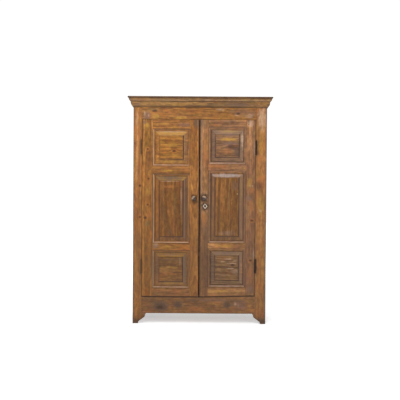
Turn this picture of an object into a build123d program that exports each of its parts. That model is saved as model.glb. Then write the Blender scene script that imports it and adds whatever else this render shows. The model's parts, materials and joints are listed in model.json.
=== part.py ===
"""A trastero: a tall two-door store cupboard in pine, with a pegged face frame and raised panel doors.

Millimetres. +X runs to the right as one faces the doors, the doors face -Y, and +Z is up. The origin
lies on the floor, under the centre of the cupboard's outline. A depth is measured back from the front
face of the frame and doors, and a pair of numbers is a span, such as (left, right) or (low, high).
"""

from build123d import *
import os

os.makedirs("parts", exist_ok=True)

# ---- case
BODY_WIDTH = 1066.0
BODY_DEPTH = 433.0
CAP_OVERHANG = 43.0
CAP_T = 12.0
APRON_BOTTOM = 82.0
OPENING_BOTTOM = 214.0
APRON_CLIMB = 12.0
OPENING_TOP = 1638.0
CORNICE_BOTTOM = 1733.0
BODY_TOP = 1803.0

FRAME_T = 26.0
SIDE_T = 22.0
SHELF_T = 20.0
BACK_T = 14.0
LEFT_STILE_W = 69.0
RIGHT_STILE_W = 88.0
BACK_BOARD_WIDTHS = (225.0, 190.0, 214.0, 205.0, 212.0)
SHELF_TOPS = {"lower_shelf": 565.0, "middle_shelf": 915.0, "upper_shelf": 1265.0}

FRONT_Y = CAP_OVERHANG - (BODY_DEPTH + CAP_OVERHANG) / 2
BACK_Y = FRONT_Y + BODY_DEPTH
FRAME_BACK_Y = FRONT_Y + FRAME_T
REBATE_Y = BACK_Y - BACK_T
HALF_WIDTH = BODY_WIDTH / 2
INNER_HALF = HALF_WIDTH - SIDE_T
OPENING_LEFT = LEFT_STILE_W - HALF_WIDTH
OPENING_RIGHT = HALF_WIDTH - RIGHT_STILE_W

REBATE_W = 12.0
HOUSING_DEPTH = 6.0
DOOR_STOP_LIFT = 8.0
BOTTOM_BOARD = (OPENING_BOTTOM + DOOR_STOP_LIFT - SHELF_T, OPENING_BOTTOM + DOOR_STOP_LIFT)
SHELF_FRONT_Y = -145.0
SHELF_PLAY = 0.5
CLEAT_W, CLEAT_H, CLEAT_SETBACK = 20.0, 30.0, 6.0
BACK_LAP, BACK_BOARD_GAP = 9.0, 1.0

# ---- bracket feet, seen from the front or the side
FOOT_W, FOOT_FLARE, FOOT_RISE = 42.0, 3.0, 15.0
BRACKET_REACH, BRACKET_RISE, BRACKET_BEND_R = 98.0, 55.0, 13.0
BRACKET_STEP_W, BRACKET_STEP_H = 6.0, 8.0
BELOW_FLOOR = -1.0
APRON_EAR_BOTTOM = 30.0

# ---- joints of the face frame
FRAME_TENON_DEPTHS, FRAME_TENON_L = (8.0, 18.0), 45.0
TOP_RAIL_TENON, APRON_TENON = (1650.0, 1790.0), (100.0, 200.0)
MORTISE_PLAY = 1.0
PEG_R, PEG_SIDES, PEG_L, PEG_PROUD = 4.2, 8, 22.0, 0.8
PEG_INSET = 20.0
FRAME_PEG_HEIGHTS = (118.0, 182.0, 1668.0, 1716.0)

# ---- cornice mouldings: an oval over a lip, under a square band
LOWER_MOULDING_H = 42.0
LOWER_LIP, LOWER_LIP_H, LOWER_OUT, LOWER_BAND_H = 7.0, 4.0, 21.0, 8.0
UPPER_LIP, UPPER_LIP_H, UPPER_OUT, UPPER_BAND_H = 24.0, 3.0, 35.0, 6.0
CAP_EDGE_R, CAP_JOINT_Y = 4.5, 12.0

# ---- doors
DOOR_T = 25.0
SEAM, TOP_SEAM = 3.0, 2.5
MEETING_X, MEETING_GAP = -3.6, 8.0
DOOR_HEIGHT = (OPENING_BOTTOM + SEAM, OPENING_TOP - TOP_SEAM)

# moulding worked on the inner edges of stiles and rails: an oval between a small step and a flat
STICK_W, STICK_STEP, STICK_DROP, STICK_FLAT = 18.0, 2.5, 10.0, 4.0

# panel groove, and the tenons that lie in line with it
GROOVE_DEPTHS, GROOVE_W = (11.0, 19.0), 10.0
TENON_L, TENON_SHOULDER, TENON_SETBACK = 48.0, 4.0, 18.0

# raised panels: a tongue in the groove, a long slope, and a field that stands above the slope
TONGUE_W, TONGUE_DEPTHS = 9.5, (11.3, 18.7)
SLOPE_W, SLOPE_TOP_DEPTH, FIELD_DEPTH = 41.0, 4.5, 1.5

# ---- hinges: iron butts whose barrel stands in front of the frame, beside the seam that holds the leaves
HINGE_HEIGHTS = {"left": (459.0, 1416.0), "right": (466.0, 1414.0)}
BARREL_R, BARREL_L, BARREL_CLEARANCE = 6.0, 112.0, 0.5
BARREL_OFFSET = 6.0
SEAM_X = {"left": OPENING_LEFT + SEAM / 2, "right": OPENING_RIGHT - SEAM / 2}
HINGE_X = {"left": SEAM_X["left"] - BARREL_OFFSET, "right": SEAM_X["right"] + BARREL_OFFSET}
HINGE_Y = FRONT_Y - BARREL_R - BARREL_CLEARANCE
KNUCKLES, KNUCKLE_GAP = 3, 0.5
KNUCKLE_PITCH = (BARREL_L + KNUCKLE_GAP) / KNUCKLES
PIN_R, PIN_CLEARANCE = 2.6, 0.05
PIN_PROUD = 3.0
LEAF_T, LEAF_DEPTH, LEAF_PLAY = 2.2, 20.0, 0.2
LEAF_BED = LEAF_PLAY + LEAF_T - SEAM / 2
NECK_T = 3.5

# ---- turned knobs, with heights measured out from the face of the door
KNOB_NECK_R = 10.5
KNOB_RIM_R, KNOB_RIM_HEIGHTS = 21.2, (16.0, 27.0)
KNOB_TOP_R, KNOB_L = 10.0, 36.0
SPIGOT_R, SPIGOT_L, SPIGOT_PLAY = 8.0, 20.0, 0.1

# ---- lock in the right door, and its strike plate on the left door
KEYHOLE_X, KEYHOLE_Z = 43.0, 945.0
KEYHOLE_R, KEY_SLOT_W, KEY_SLOT_L = 4.0, 6.0, 11.0
LOZENGE_W, LOZENGE_H, LOZENGE_T = 37.0, 44.0, 2.5
SELVEDGE_T, SELVEDGE_DEPTHS, SELVEDGE_HEIGHT = 2.2, (6.0, DOOR_T), (905.0, 985.0)
LOCK_W, LOCK_DEPTHS, LOCK_HEIGHT, LOCK_WALL = 65.6, (10.0, DOOR_T), (915.0, 975.0), 2.0
BOLT_L, BOLT_DEPTHS, BOLT_HEIGHT, BOLT_PLAY = 49.4, (12.4, 19.6), (937.0, 953.0), 0.4
BOLT_SETBACK = 0.2
BOLT_SPACE = 10.0
TALON_X, TALON_H = (38.0, 48.0), 6.0
STRIKE_T, STRIKE_HEIGHT, STRIKE_PLAY, STRIKE_POCKET = 1.5, (914.0, 976.0), 1.2, 14.0

# ---- slide bolt on the back of the left door, and the batten that it shoots into
SLIDE_X, SLIDE_SIDE, SLIDE_HEIGHT = -43.0, 8.0, (1498.0, 1622.0)
SLIDE_PLATE_W, SLIDE_PLATE_T, SLIDE_PLATE_HEIGHT = 34.0, 2.0, (1492.0, 1610.0)
SLIDE_BACKSPACE = 2.0
GUIDE_CENTRES, GUIDE_W, GUIDE_H, GUIDE_WALL = (1520.0, 1595.0), 20.0, 10.0, 2.0
SLIDE_PLAY = 0.5
SLIDE_KNOB_Z, SLIDE_KNOB_R, SLIDE_KNOB_L = 1550.0, 5.0, 11.0
BATTEN_HALF, BATTEN_T, BATTEN_HEIGHT, BATTEN_HOLE_H = 505.0, 22.0, (1626.0, 1662.0), 22.0
SLIDE_FRONT = DOOR_T + SLIDE_PLATE_T + SLIDE_BACKSPACE
SLIDE_DEPTHS = (SLIDE_FRONT, SLIDE_FRONT + SLIDE_SIDE)
SLIDE_WIDTH = (SLIDE_X - SLIDE_SIDE / 2, SLIDE_X + SLIDE_SIDE / 2)

# edges of a panel opening, in the order of its corners
BOTTOM, RIGHT, TOP, LEFT = range(4)
RAIL_NAMES = ("bottom_rail", "lower_mid_rail", "upper_mid_rail", "top_rail")
PANEL_NAMES = ("lower_panel", "middle_panel", "upper_panel")


def middle(a, b):
    return (a + b) / 2


def grow(span, amount):
    return (span[0] - amount, span[1] + amount)


def behind_face(depths):
    """A span of depths, as a span along Y."""
    return (FRONT_Y + depths[0], FRONT_Y + depths[1])


def face_at(depth):
    """The upright plane that lies a depth behind the front face, looking to the front."""
    return Plane.XZ.offset(-(FRONT_Y + depth))


def block(x, y, z, mode=Mode.ADD):
    """A square-edged block that fills a span along each axis."""
    with Locations((middle(*x), middle(*y), middle(*z))):
        Box(abs(x[1] - x[0]), abs(y[1] - y[0]), abs(z[1] - z[0]), mode=mode)


def flat_rectangle(depth, width, height):
    """An upright rectangle at a depth, for an extrusion to the front."""
    with BuildSketch(face_at(depth)) as rectangle:
        with Locations((middle(*width), middle(*height))):
            Rectangle(abs(width[1] - width[0]), height[1] - height[0])
    return rectangle.sketch


def save(piece, name):
    """Label a finished piece and write it to its own file."""
    piece.part.label = name
    export_step(piece.part, f"parts/{name}.step")


class Door:
    """Layout of one door: its outer edges, the width of its panels, and the height of each panel."""

    def __init__(self, hand, edges, panel_width, panel_heights):
        self.hand = hand
        self.edges = edges
        self.openings = [(panel_width, height) for height in panel_heights]
        self.flats = grow(panel_width, STICK_W)
        self.hinge_side = -1 if hand == "left" else 1

    def rails(self):
        """The height of each rail's flat face, from the bottom rail up."""
        levels = [DOOR_HEIGHT[0]]
        for _, (low, high) in self.openings:
            levels += [low - STICK_W, high + STICK_W]
        levels.append(DOOR_HEIGHT[1])
        return list(zip(levels[::2], levels[1::2]))

    def tenons(self):
        """The height of each rail's tenons, which stay back from the ends of the stiles."""
        heights = []
        for low, high in self.rails():
            low_cut = TENON_SETBACK if low == DOOR_HEIGHT[0] else TENON_SHOULDER
            high_cut = TENON_SETBACK if high == DOOR_HEIGHT[1] else TENON_SHOULDER
            heights.append((low + low_cut, high - high_cut))
        return heights

    def pegs(self):
        """The (x, z) place of the peg through each tenon."""
        return [(x, middle(*height)) for height in self.tenons() for x in grow(self.flats, PEG_INSET)]


LEFT_DOOR = Door(
    "left",
    edges=(OPENING_LEFT + SEAM, MEETING_X - MEETING_GAP / 2),
    panel_width=(-361.0, -97.0),
    panel_heights=[(301.0, 574.0), (661.0, 1186.0), (1281.0, 1546.0)],
)
RIGHT_DOOR = Door(
    "right",
    edges=(MEETING_X + MEETING_GAP / 2, OPENING_RIGHT - SEAM),
    panel_width=(86.0, 350.0),
    panel_heights=[(311.0, 589.0), (666.0, 1213.0), (1298.0, 1561.0)],
)


# ================================================================ outlines that pieces share
def feet_gap(start, end):
    """The arch between two bracket feet whose outer edges stand at start and end."""
    foot = [
        (FOOT_W, BELOW_FLOOR),
        (FOOT_W + FOOT_FLARE, FOOT_RISE),
        (BRACKET_REACH, BRACKET_RISE),
        (BRACKET_REACH, APRON_BOTTOM - BRACKET_STEP_H),
    ]
    step = [
        (BRACKET_REACH + BRACKET_STEP_W, APRON_BOTTOM - BRACKET_STEP_H),
        (BRACKET_REACH + BRACKET_STEP_W, APRON_BOTTOM),
    ]
    near_foot, near_step = ([(start + reach, z) for reach, z in points] for points in (foot, step))
    far_foot, far_step = ([(end - reach, z) for reach, z in points] for points in (foot, step))
    with BuildSketch() as arch:
        with BuildLine():
            FilletPolyline(*near_foot, radius=BRACKET_BEND_R)
            Polyline(near_foot[-1], *near_step, *reversed(far_step), far_foot[-1])
            FilletPolyline(*far_foot, radius=BRACKET_BEND_R)
            Line(far_foot[0], near_foot[0])
        make_face()
    return arch.sketch


FRONT_ARCH = feet_gap(-HALF_WIDTH, HALF_WIDTH)
SIDE_ARCH = feet_gap(FRONT_Y, BACK_Y)


def apron_top(x):
    """Height of the apron's top edge: level under the left door, and climbing under the right one."""
    return OPENING_BOTTOM + APRON_CLIMB * max(0.0, (x - MEETING_X) / (OPENING_RIGHT - MEETING_X))


def peg_sections(places):
    """Eight-sided sections of pegs at (x, z) places, on the plane where the pegs end."""
    with BuildSketch(face_at(PEG_L)) as sections:
        with Locations(*places):
            RegularPolygon(PEG_R, PEG_SIDES)
    return sections.sketch


def pegs(name, places):
    """A set of riven pegs, driven in from the front and left a little proud."""
    with BuildPart() as peg_set:
        extrude(peg_sections(places), amount=PEG_L + PEG_PROUD)
    save(peg_set, name)


def bore_peg_holes(places):
    """Cut the peg holes that fall within the piece being made."""
    extrude(peg_sections(places), amount=PEG_L + PEG_PROUD, mode=Mode.SUBTRACT)


# ================================================================ case
def case_side(name, side):
    """A side board with bracket feet, housed for the bottom board and rebated for the back."""
    inner_x = side * INNER_HALF
    with BuildPart() as board:
        with BuildSketch(Plane.YZ.offset(inner_x)):
            with Locations((middle(FRAME_BACK_Y, BACK_Y), BODY_TOP / 2)):
                Rectangle(BACK_Y - FRAME_BACK_Y, BODY_TOP)
            add(SIDE_ARCH, mode=Mode.SUBTRACT)
        extrude(amount=side * SIDE_T)
        housing = (inner_x, inner_x + side * HOUSING_DEPTH)
        block(housing, (FRAME_BACK_Y, REBATE_Y), BOTTOM_BOARD, mode=Mode.SUBTRACT)
        rebate = (inner_x, inner_x + side * REBATE_W)
        block(rebate, (REBATE_Y, BACK_Y), (BOTTOM_BOARD[0], BODY_TOP), mode=Mode.SUBTRACT)
    save(board, name)


case_side("left_side", -1)
case_side("right_side", 1)

inner_width = (-INNER_HALF, INNER_HALF)
with BuildPart() as bottom_board:
    block(grow(inner_width, HOUSING_DEPTH), (FRAME_BACK_Y, REBATE_Y), BOTTOM_BOARD)
save(bottom_board, "bottom_board")

for shelf_name, shelf_top in SHELF_TOPS.items():
    with BuildPart() as shelf:
        block(grow(inner_width, -SHELF_PLAY), (SHELF_FRONT_Y, REBATE_Y), (shelf_top - SHELF_T, shelf_top))
    save(shelf, shelf_name)

with BuildPart() as shelf_cleats:
    cleat_run = grow((SHELF_FRONT_Y, REBATE_Y), -CLEAT_SETBACK)
    for shelf_top in SHELF_TOPS.values():
        cleat_height = (shelf_top - SHELF_T - CLEAT_H, shelf_top - SHELF_T)
        for wall_x in inner_width:
            cleat_end = wall_x - CLEAT_W if wall_x > 0 else wall_x + CLEAT_W
            block((wall_x, cleat_end), cleat_run, cleat_height)
save(shelf_cleats, "shelf_cleats")

# upright back boards: the inner half of each lies over a lap of the next
board_start = -INNER_HALF - REBATE_W
lap_y = REBATE_Y + BACK_T / 2
back_height = (BOTTOM_BOARD[0], BODY_TOP)
for number, board_width in enumerate(BACK_BOARD_WIDTHS, start=1):
    first, last = number == 1, number == len(BACK_BOARD_WIDTHS)
    board_end = board_start + board_width
    inner_start = board_start if first else board_start + BACK_BOARD_GAP
    outer_start = board_start if first else inner_start - BACK_LAP
    outer_end = board_end if last else board_end - BACK_LAP
    with BuildPart() as back_board:
        block((inner_start, board_end), (REBATE_Y, lap_y), back_height)
        block((outer_start, outer_end), (lap_y, BACK_Y), back_height)
    save(back_board, f"back_board_{number}")
    board_start = board_end


# ================================================================ face frame
FRAME_OPENING = (OPENING_LEFT, OPENING_RIGHT)
FRAME_PEGS = [(x, z) for x in grow(FRAME_OPENING, PEG_INSET) for z in FRAME_PEG_HEIGHTS]


def leaf_beds(edge_x, into_wood, heights):
    """Cut the shallow beds for hinge leaves in an upright edge."""
    for hinge_z in heights:
        block(
            (edge_x, edge_x + into_wood * LEAF_BED),
            behind_face((0, LEAF_DEPTH)),
            grow((hinge_z, hinge_z), BARREL_L / 2),
            mode=Mode.SUBTRACT,
        )


def frame_stile(name, side, inner_x, hinge_heights):
    """An upright of the face frame, whose lower end is the front of a bracket foot."""
    with BuildPart() as stile:
        with BuildSketch(face_at(FRAME_T)):
            with Locations((middle(side * HALF_WIDTH, inner_x), BODY_TOP / 2)):
                Rectangle(abs(side * HALF_WIDTH - inner_x), BODY_TOP)
            add(FRONT_ARCH, mode=Mode.SUBTRACT)
        extrude(amount=FRAME_T)
        mortise = (inner_x, inner_x + side * (FRAME_TENON_L + MORTISE_PLAY))
        for tenon in (TOP_RAIL_TENON, APRON_TENON):
            block(mortise, behind_face(FRAME_TENON_DEPTHS), tenon, mode=Mode.SUBTRACT)
        bore_peg_holes(FRAME_PEGS)
        leaf_beds(inner_x, side, hinge_heights)
    save(stile, name)


frame_stile("left_frame_stile", -1, OPENING_LEFT, HINGE_HEIGHTS["left"])
frame_stile("right_frame_stile", 1, OPENING_RIGHT, HINGE_HEIGHTS["right"])

with BuildPart() as frame_top_rail:
    block(FRAME_OPENING, (FRONT_Y, FRAME_BACK_Y), (OPENING_TOP, BODY_TOP))
    block(grow(FRAME_OPENING, FRAME_TENON_L), behind_face(FRAME_TENON_DEPTHS), TOP_RAIL_TENON)
    bore_peg_holes(FRAME_PEGS)
save(frame_top_rail, "frame_top_rail")

with BuildPart() as apron:
    with BuildSketch(face_at(FRAME_T)):
        with BuildLine():
            Polyline(
                (OPENING_LEFT, APRON_EAR_BOTTOM),
                (OPENING_RIGHT, APRON_EAR_BOTTOM),
                (OPENING_RIGHT, apron_top(OPENING_RIGHT)),
                (MEETING_X, OPENING_BOTTOM),
                (OPENING_LEFT, OPENING_BOTTOM),
                close=True,
            )
        make_face()
        add(FRONT_ARCH, mode=Mode.SUBTRACT)
    extrude(amount=FRAME_T)
    block(grow(FRAME_OPENING, FRAME_TENON_L), behind_face(FRAME_TENON_DEPTHS), APRON_TENON)
    bore_peg_holes(FRAME_PEGS)
save(apron, "apron")

pegs("frame_pegs", FRAME_PEGS)

with BuildPart() as door_stop_batten:
    block((-BATTEN_HALF, BATTEN_HALF), (FRAME_BACK_Y, FRAME_BACK_Y + BATTEN_T), BATTEN_HEIGHT)
    block(
        grow(SLIDE_WIDTH, SLIDE_PLAY),
        grow(behind_face(SLIDE_DEPTHS), SLIDE_PLAY),
        (BATTEN_HEIGHT[0], BATTEN_HEIGHT[0] + BATTEN_HOLE_H),
        mode=Mode.SUBTRACT,
    )
save(door_stop_batten, "door_stop_batten")


# ================================================================ cornice and cap
def moulding_section(plane, lip, lip_height, out, band_height, height):
    """Section of a cornice moulding: outward is the plane's x, and upward its y."""
    oval_top = height - band_height
    with BuildSketch(plane) as section:
        with BuildLine():
            Polyline((lip, lip_height), (lip, 0), (0, 0), (0, height), (out, height), (out, oval_top))
            TangentArc((out, oval_top), (lip, lip_height), tangent=(0, -1))
        make_face()
    return section.sketch


def mitre(side):
    """The upright plane that halves a front corner; the side length lies on its upper side."""
    return Plane(origin=(side * HALF_WIDTH, FRONT_Y, 0), x_dir=(0, 0, 1), z_dir=(side, 1, 0))


def cornice(level, base, *profile):
    """Three lengths of one moulding, mitred round the front corners."""
    cross_section = Plane(origin=(0, FRONT_Y, base), x_dir=(0, -1, 0), z_dir=(-1, 0, 0))
    with BuildPart() as front:
        extrude(moulding_section(cross_section, *profile), amount=HALF_WIDTH + CAP_OVERHANG, both=True)
        for side in (-1, 1):
            split(bisect_by=mitre(side), keep=Keep.BOTTOM)
    save(front, f"cornice_{level}_front")
    for hand, side in (("left", -1), ("right", 1)):
        back_end = Plane(origin=(side * HALF_WIDTH, BACK_Y, base), x_dir=(side, 0, 0), z_dir=(0, -side, 0))
        with BuildPart() as return_length:
            extrude(moulding_section(back_end, *profile), amount=side * (BODY_DEPTH + CAP_OVERHANG))
            split(bisect_by=mitre(side), keep=Keep.TOP)
        save(return_length, f"cornice_{level}_{hand}")


UPPER_BASE = CORNICE_BOTTOM + LOWER_MOULDING_H
cornice("lower", CORNICE_BOTTOM, LOWER_LIP, LOWER_LIP_H, LOWER_OUT, LOWER_BAND_H, LOWER_MOULDING_H)
cornice("upper", UPPER_BASE, UPPER_LIP, UPPER_LIP_H, UPPER_OUT, UPPER_BAND_H, BODY_TOP - UPPER_BASE)

cap_width = grow((-HALF_WIDTH, HALF_WIDTH), CAP_OVERHANG)
cap_front = FRONT_Y - CAP_OVERHANG
cap_height = (BODY_TOP, BODY_TOP + CAP_T)

with BuildPart() as cap_board_front:
    block(cap_width, (cap_front, CAP_JOINT_Y), cap_height)
    outer_edges = cap_board_front.edges().filter_by_position(Axis.Y, cap_front, CAP_JOINT_Y - 1)
    fillet(outer_edges.filter_by(Axis.Z, reverse=True), CAP_EDGE_R)
save(cap_board_front, "cap_board_front")

with BuildPart() as cap_board_back:
    block(cap_width, (CAP_JOINT_Y, BACK_Y), cap_height)
    fillet(cap_board_back.edges().filter_by(Axis.Y), CAP_EDGE_R)
save(cap_board_back, "cap_board_back")


# ================================================================ door joinery
def corners(opening, margin=0.0):
    """Corners of a panel opening with a margin round it: the bottom left one, then anticlockwise."""
    (left, right), (low, high) = grow(opening[0], margin), grow(opening[1], margin)
    return [(left, low), (right, low), (right, high), (left, high)]


def member_outline(width, height, edges):
    """Front view of a stile or rail: its flat, and a mitred strip along each panel edge it makes."""
    with BuildSketch(face_at(DOOR_T)) as outline:
        with Locations((middle(*width), middle(*height))):
            Rectangle(abs(width[1] - width[0]), height[1] - height[0])
        for opening, edge in edges:
            flat, inner = corners(opening, STICK_W), corners(opening)
            after = (edge + 1) % 4
            with BuildLine():
                Polyline(flat[edge], inner[edge], inner[after], flat[after], close=True)
            make_face()
    return outline.sketch


def moulding_cut(opening, edge):
    """Section, at mid length, of what the moulding plane takes off an edge of a panel opening."""
    (start_x, start_z), (end_x, end_z) = corners(opening)[edge], corners(opening)[(edge + 1) % 4]
    run_x, run_z = end_x - start_x, end_z - start_z
    halfway = (middle(start_x, end_x), FRONT_Y, middle(start_z, end_z))
    clear = STICK_FLAT
    with BuildSketch(Plane(origin=halfway, x_dir=(-run_z, 0, run_x), z_dir=(-run_x, 0, -run_z))) as section:
        with BuildLine():
            Polyline(
                (-STICK_W, STICK_STEP),
                (-STICK_W, -clear),
                (clear, -clear),
                (clear, STICK_DROP),
                (-STICK_FLAT, STICK_DROP),
            )
            TangentArc((-STICK_W, STICK_STEP), (-STICK_FLAT, STICK_DROP), tangent=(1, 0))
        make_face()
    return section.sketch


def work_edges(edges):
    """Plane the moulding and plough the panel groove on each (opening, edge) of a stile or rail."""
    for opening, edge in edges:
        width, height = opening
        length = width[1] - width[0] if edge in (BOTTOM, TOP) else height[1] - height[0]
        extrude(moulding_cut(opening, edge), amount=length / 2 + STICK_W, both=True, mode=Mode.SUBTRACT)
        block(grow(width, GROOVE_W), behind_face(GROOVE_DEPTHS), grow(height, GROOVE_W), mode=Mode.SUBTRACT)


def stile_edges(door, side):
    return [(opening, LEFT if side < 0 else RIGHT) for opening in door.openings]


def stile_outline(door, side):
    end = 0 if side < 0 else 1
    return member_outline((door.edges[end], door.flats[end]), DOOR_HEIGHT, stile_edges(door, side))


def plane_bottom_edge(door):
    """Plane the bottom edge of a door to follow the apron's top, a seam above it."""
    left, right = door.edges
    with BuildSketch(face_at(DOOR_T)) as waste:
        with BuildLine():
            Polyline(
                (left, OPENING_BOTTOM),
                (right, OPENING_BOTTOM),
                (right, apron_top(right) + SEAM),
                (left, apron_top(left) + SEAM),
                close=True,
            )
        make_face()
    extrude(waste.sketch, amount=DOOR_T, mode=Mode.SUBTRACT)


def work_stile(door, side):
    """Mould and groove a stile, cut its mortises and peg holes, and plane its lower end."""
    work_edges(stile_edges(door, side))
    plane_bottom_edge(door)
    flat_x = door.flats[0] if side < 0 else door.flats[1]
    mortise = (flat_x, flat_x + side * (TENON_L + MORTISE_PLAY))
    for tenon in door.tenons():
        block(mortise, behind_face(GROOVE_DEPTHS), tenon, mode=Mode.SUBTRACT)
    bore_peg_holes(door.pegs())


def hinge_stile(door):
    """The stile that hangs the door, with beds for the hinge leaves in its edge."""
    side = door.hinge_side
    with BuildPart() as stile:
        extrude(stile_outline(door, side), amount=DOOR_T)
        work_stile(door, side)
        leaf_beds(door.edges[0] if side < 0 else door.edges[1], -side, HINGE_HEIGHTS[door.hand])
    save(stile, f"{door.hand}_door_hinge_stile")


def rail(door, index):
    """A rail with a tenon at each end, moulded on every edge that borders a panel."""
    edges = []
    if index > 0:
        edges.append((door.openings[index - 1], TOP))
    if index < len(door.openings):
        edges.append((door.openings[index], BOTTOM))
    with BuildPart() as rail_piece:
        extrude(member_outline(door.flats, door.rails()[index], edges), amount=DOOR_T)
        work_edges(edges)
        block(grow(door.flats, TENON_L), behind_face(GROOVE_DEPTHS), door.tenons()[index])
        bore_peg_holes(door.pegs())
        if index == 0:
            plane_bottom_edge(door)
    save(rail_piece, f"{door.hand}_door_{RAIL_NAMES[index]}")


def panel(door, index):
    """A raised panel that floats in its groove."""
    width, height = door.openings[index]
    tongue_front, tongue_back = TONGUE_DEPTHS
    slope_rise = tongue_front - SLOPE_TOP_DEPTH
    with BuildPart() as panel_piece:
        tongue = flat_rectangle(tongue_back, grow(width, TONGUE_W), grow(height, TONGUE_W))
        extrude(tongue, amount=tongue_back - tongue_front)
        slope_y = FRONT_Y + middle(SLOPE_TOP_DEPTH, tongue_front)
        foot_w, foot_h = width[1] - width[0], height[1] - height[0]
        with Locations(Location((middle(*width), slope_y, middle(*height)), (0, 0, 180))):
            Wedge(foot_w, slope_rise, foot_h, SLOPE_W, SLOPE_W, foot_w - SLOPE_W, foot_h - SLOPE_W)
        field = flat_rectangle(SLOPE_TOP_DEPTH, grow(width, -SLOPE_W), grow(height, -SLOPE_W))
        extrude(field, amount=SLOPE_TOP_DEPTH - FIELD_DEPTH)
    save(panel_piece, f"{door.hand}_door_{PANEL_NAMES[index]}")


for door in (LEFT_DOOR, RIGHT_DOOR):
    hinge_stile(door)
    for rail_index in range(len(RAIL_NAMES)):
        rail(door, rail_index)
    for panel_index in range(len(PANEL_NAMES)):
        panel(door, panel_index)
    pegs(f"{door.hand}_door_pegs", door.pegs())


# ================================================================ knobs
def spigot_hole(x, z):
    """Bore the blind hole that a knob's spigot is glued into."""
    with Locations(face_at(0).location * Location((x, z, 0))):
        Cylinder(SPIGOT_R + SPIGOT_PLAY, 2 * (SPIGOT_L + SPIGOT_PLAY), mode=Mode.SUBTRACT)


def knob(name, x, z):
    """A turned mushroom knob whose neck stands on the face of the stile, with a spigot behind."""
    # the section's x is the knob's radius, and its y points out of the door
    knob_plane = Plane(origin=(x, FRONT_Y, z), x_dir=(1, 0, 0), z_dir=(0, 0, -1))
    with BuildPart() as knob_piece:
        with BuildSketch(knob_plane):
            with BuildLine():
                Polyline(
                    (0, -SPIGOT_L),
                    (SPIGOT_R, -SPIGOT_L),
                    (SPIGOT_R, 0),
                    (KNOB_NECK_R, 0),
                    (KNOB_NECK_R, KNOB_RIM_HEIGHTS[0]),
                    (KNOB_RIM_R, KNOB_RIM_HEIGHTS[0]),
                    (KNOB_RIM_R, KNOB_RIM_HEIGHTS[1]),
                    (KNOB_TOP_R, KNOB_L),
                    (0, KNOB_L),
                    close=True,
                )
            make_face()
        revolve(axis=Axis((x, FRONT_Y, z), (0, -1, 0)))
    save(knob_piece, name)


LEFT_KNOB, RIGHT_KNOB = (-46.0, 1007.0), (34.0, 1009.0)
knob("left_door_knob", *LEFT_KNOB)
knob("right_door_knob", *RIGHT_KNOB)

# ================================================================ meeting stiles, lock and strike
LEFT_MEETING_X, RIGHT_MEETING_X = LEFT_DOOR.edges[1], RIGHT_DOOR.edges[0]
SELVEDGE = (RIGHT_MEETING_X, RIGHT_MEETING_X + SELVEDGE_T)
LOCK_CASE = (SELVEDGE[1], RIGHT_MEETING_X + LOCK_W)
BOLT_X = (RIGHT_MEETING_X + BOLT_SETBACK, RIGHT_MEETING_X + BOLT_SETBACK + BOLT_L)
BOLT_WAY = (grow(behind_face(BOLT_DEPTHS), BOLT_PLAY), grow(BOLT_HEIGHT, BOLT_PLAY))
STRIKE_HOLE = (grow(behind_face(BOLT_DEPTHS), STRIKE_PLAY), grow(BOLT_HEIGHT, STRIKE_PLAY))
STRIKE_PLATE = (LEFT_MEETING_X - STRIKE_T, LEFT_MEETING_X)


def keyhole():
    """Section of the keyhole, a round eye over a slot, on the inner face of the lock's front wall."""
    with BuildSketch(face_at(LOCK_DEPTHS[0] + LOCK_WALL)) as section:
        with Locations((KEYHOLE_X, KEYHOLE_Z)):
            Circle(KEYHOLE_R)
        with Locations((KEYHOLE_X, KEYHOLE_Z - KEY_SLOT_L / 2)):
            Rectangle(KEY_SLOT_W, KEY_SLOT_L)
    return section.sketch


def pierce_keyhole():
    extrude(keyhole(), amount=LOCK_DEPTHS[0] + LOCK_WALL + LOZENGE_T, mode=Mode.SUBTRACT)


with BuildPart() as left_door_meeting_stile:
    extrude(stile_outline(LEFT_DOOR, 1), amount=DOOR_T)
    work_stile(LEFT_DOOR, 1)
    spigot_hole(*LEFT_KNOB)
    block(STRIKE_PLATE, behind_face(SELVEDGE_DEPTHS), STRIKE_HEIGHT, mode=Mode.SUBTRACT)
    block((LEFT_MEETING_X - STRIKE_POCKET, LEFT_MEETING_X), *STRIKE_HOLE, mode=Mode.SUBTRACT)
save(left_door_meeting_stile, "left_door_meeting_stile")

with BuildPart() as left_door_strike_plate:
    block(STRIKE_PLATE, behind_face(SELVEDGE_DEPTHS), STRIKE_HEIGHT)
    block(STRIKE_PLATE, *STRIKE_HOLE, mode=Mode.SUBTRACT)
save(left_door_strike_plate, "left_door_strike_plate")

with BuildPart() as right_door_meeting_stile:
    extrude(stile_outline(RIGHT_DOOR, -1), amount=DOOR_T)
    work_stile(RIGHT_DOOR, -1)
    spigot_hole(*RIGHT_KNOB)
    block(SELVEDGE, behind_face(SELVEDGE_DEPTHS), SELVEDGE_HEIGHT, mode=Mode.SUBTRACT)
    block(LOCK_CASE, behind_face(LOCK_DEPTHS), LOCK_HEIGHT, mode=Mode.SUBTRACT)
    pierce_keyhole()
save(right_door_meeting_stile, "right_door_meeting_stile")

with BuildPart() as right_door_lock_case:
    block(LOCK_CASE, behind_face(LOCK_DEPTHS), LOCK_HEIGHT)
    block(SELVEDGE, behind_face(SELVEDGE_DEPTHS), SELVEDGE_HEIGHT)
    block((RIGHT_MEETING_X, BOLT_X[1] + BOLT_SPACE), *BOLT_WAY, mode=Mode.SUBTRACT)
    pierce_keyhole()
save(right_door_lock_case, "right_door_lock_case")

with BuildPart() as right_door_escutcheon:
    with BuildSketch(face_at(0)):
        with Locations((KEYHOLE_X, KEYHOLE_Z)):
            half_w, half_h = LOZENGE_W / 2, LOZENGE_H / 2
            Polygon((half_w, 0), (0, half_h), (-half_w, 0), (0, -half_h))
    extrude(amount=LOZENGE_T)
    pierce_keyhole()
save(right_door_escutcheon, "right_door_escutcheon")

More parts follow.
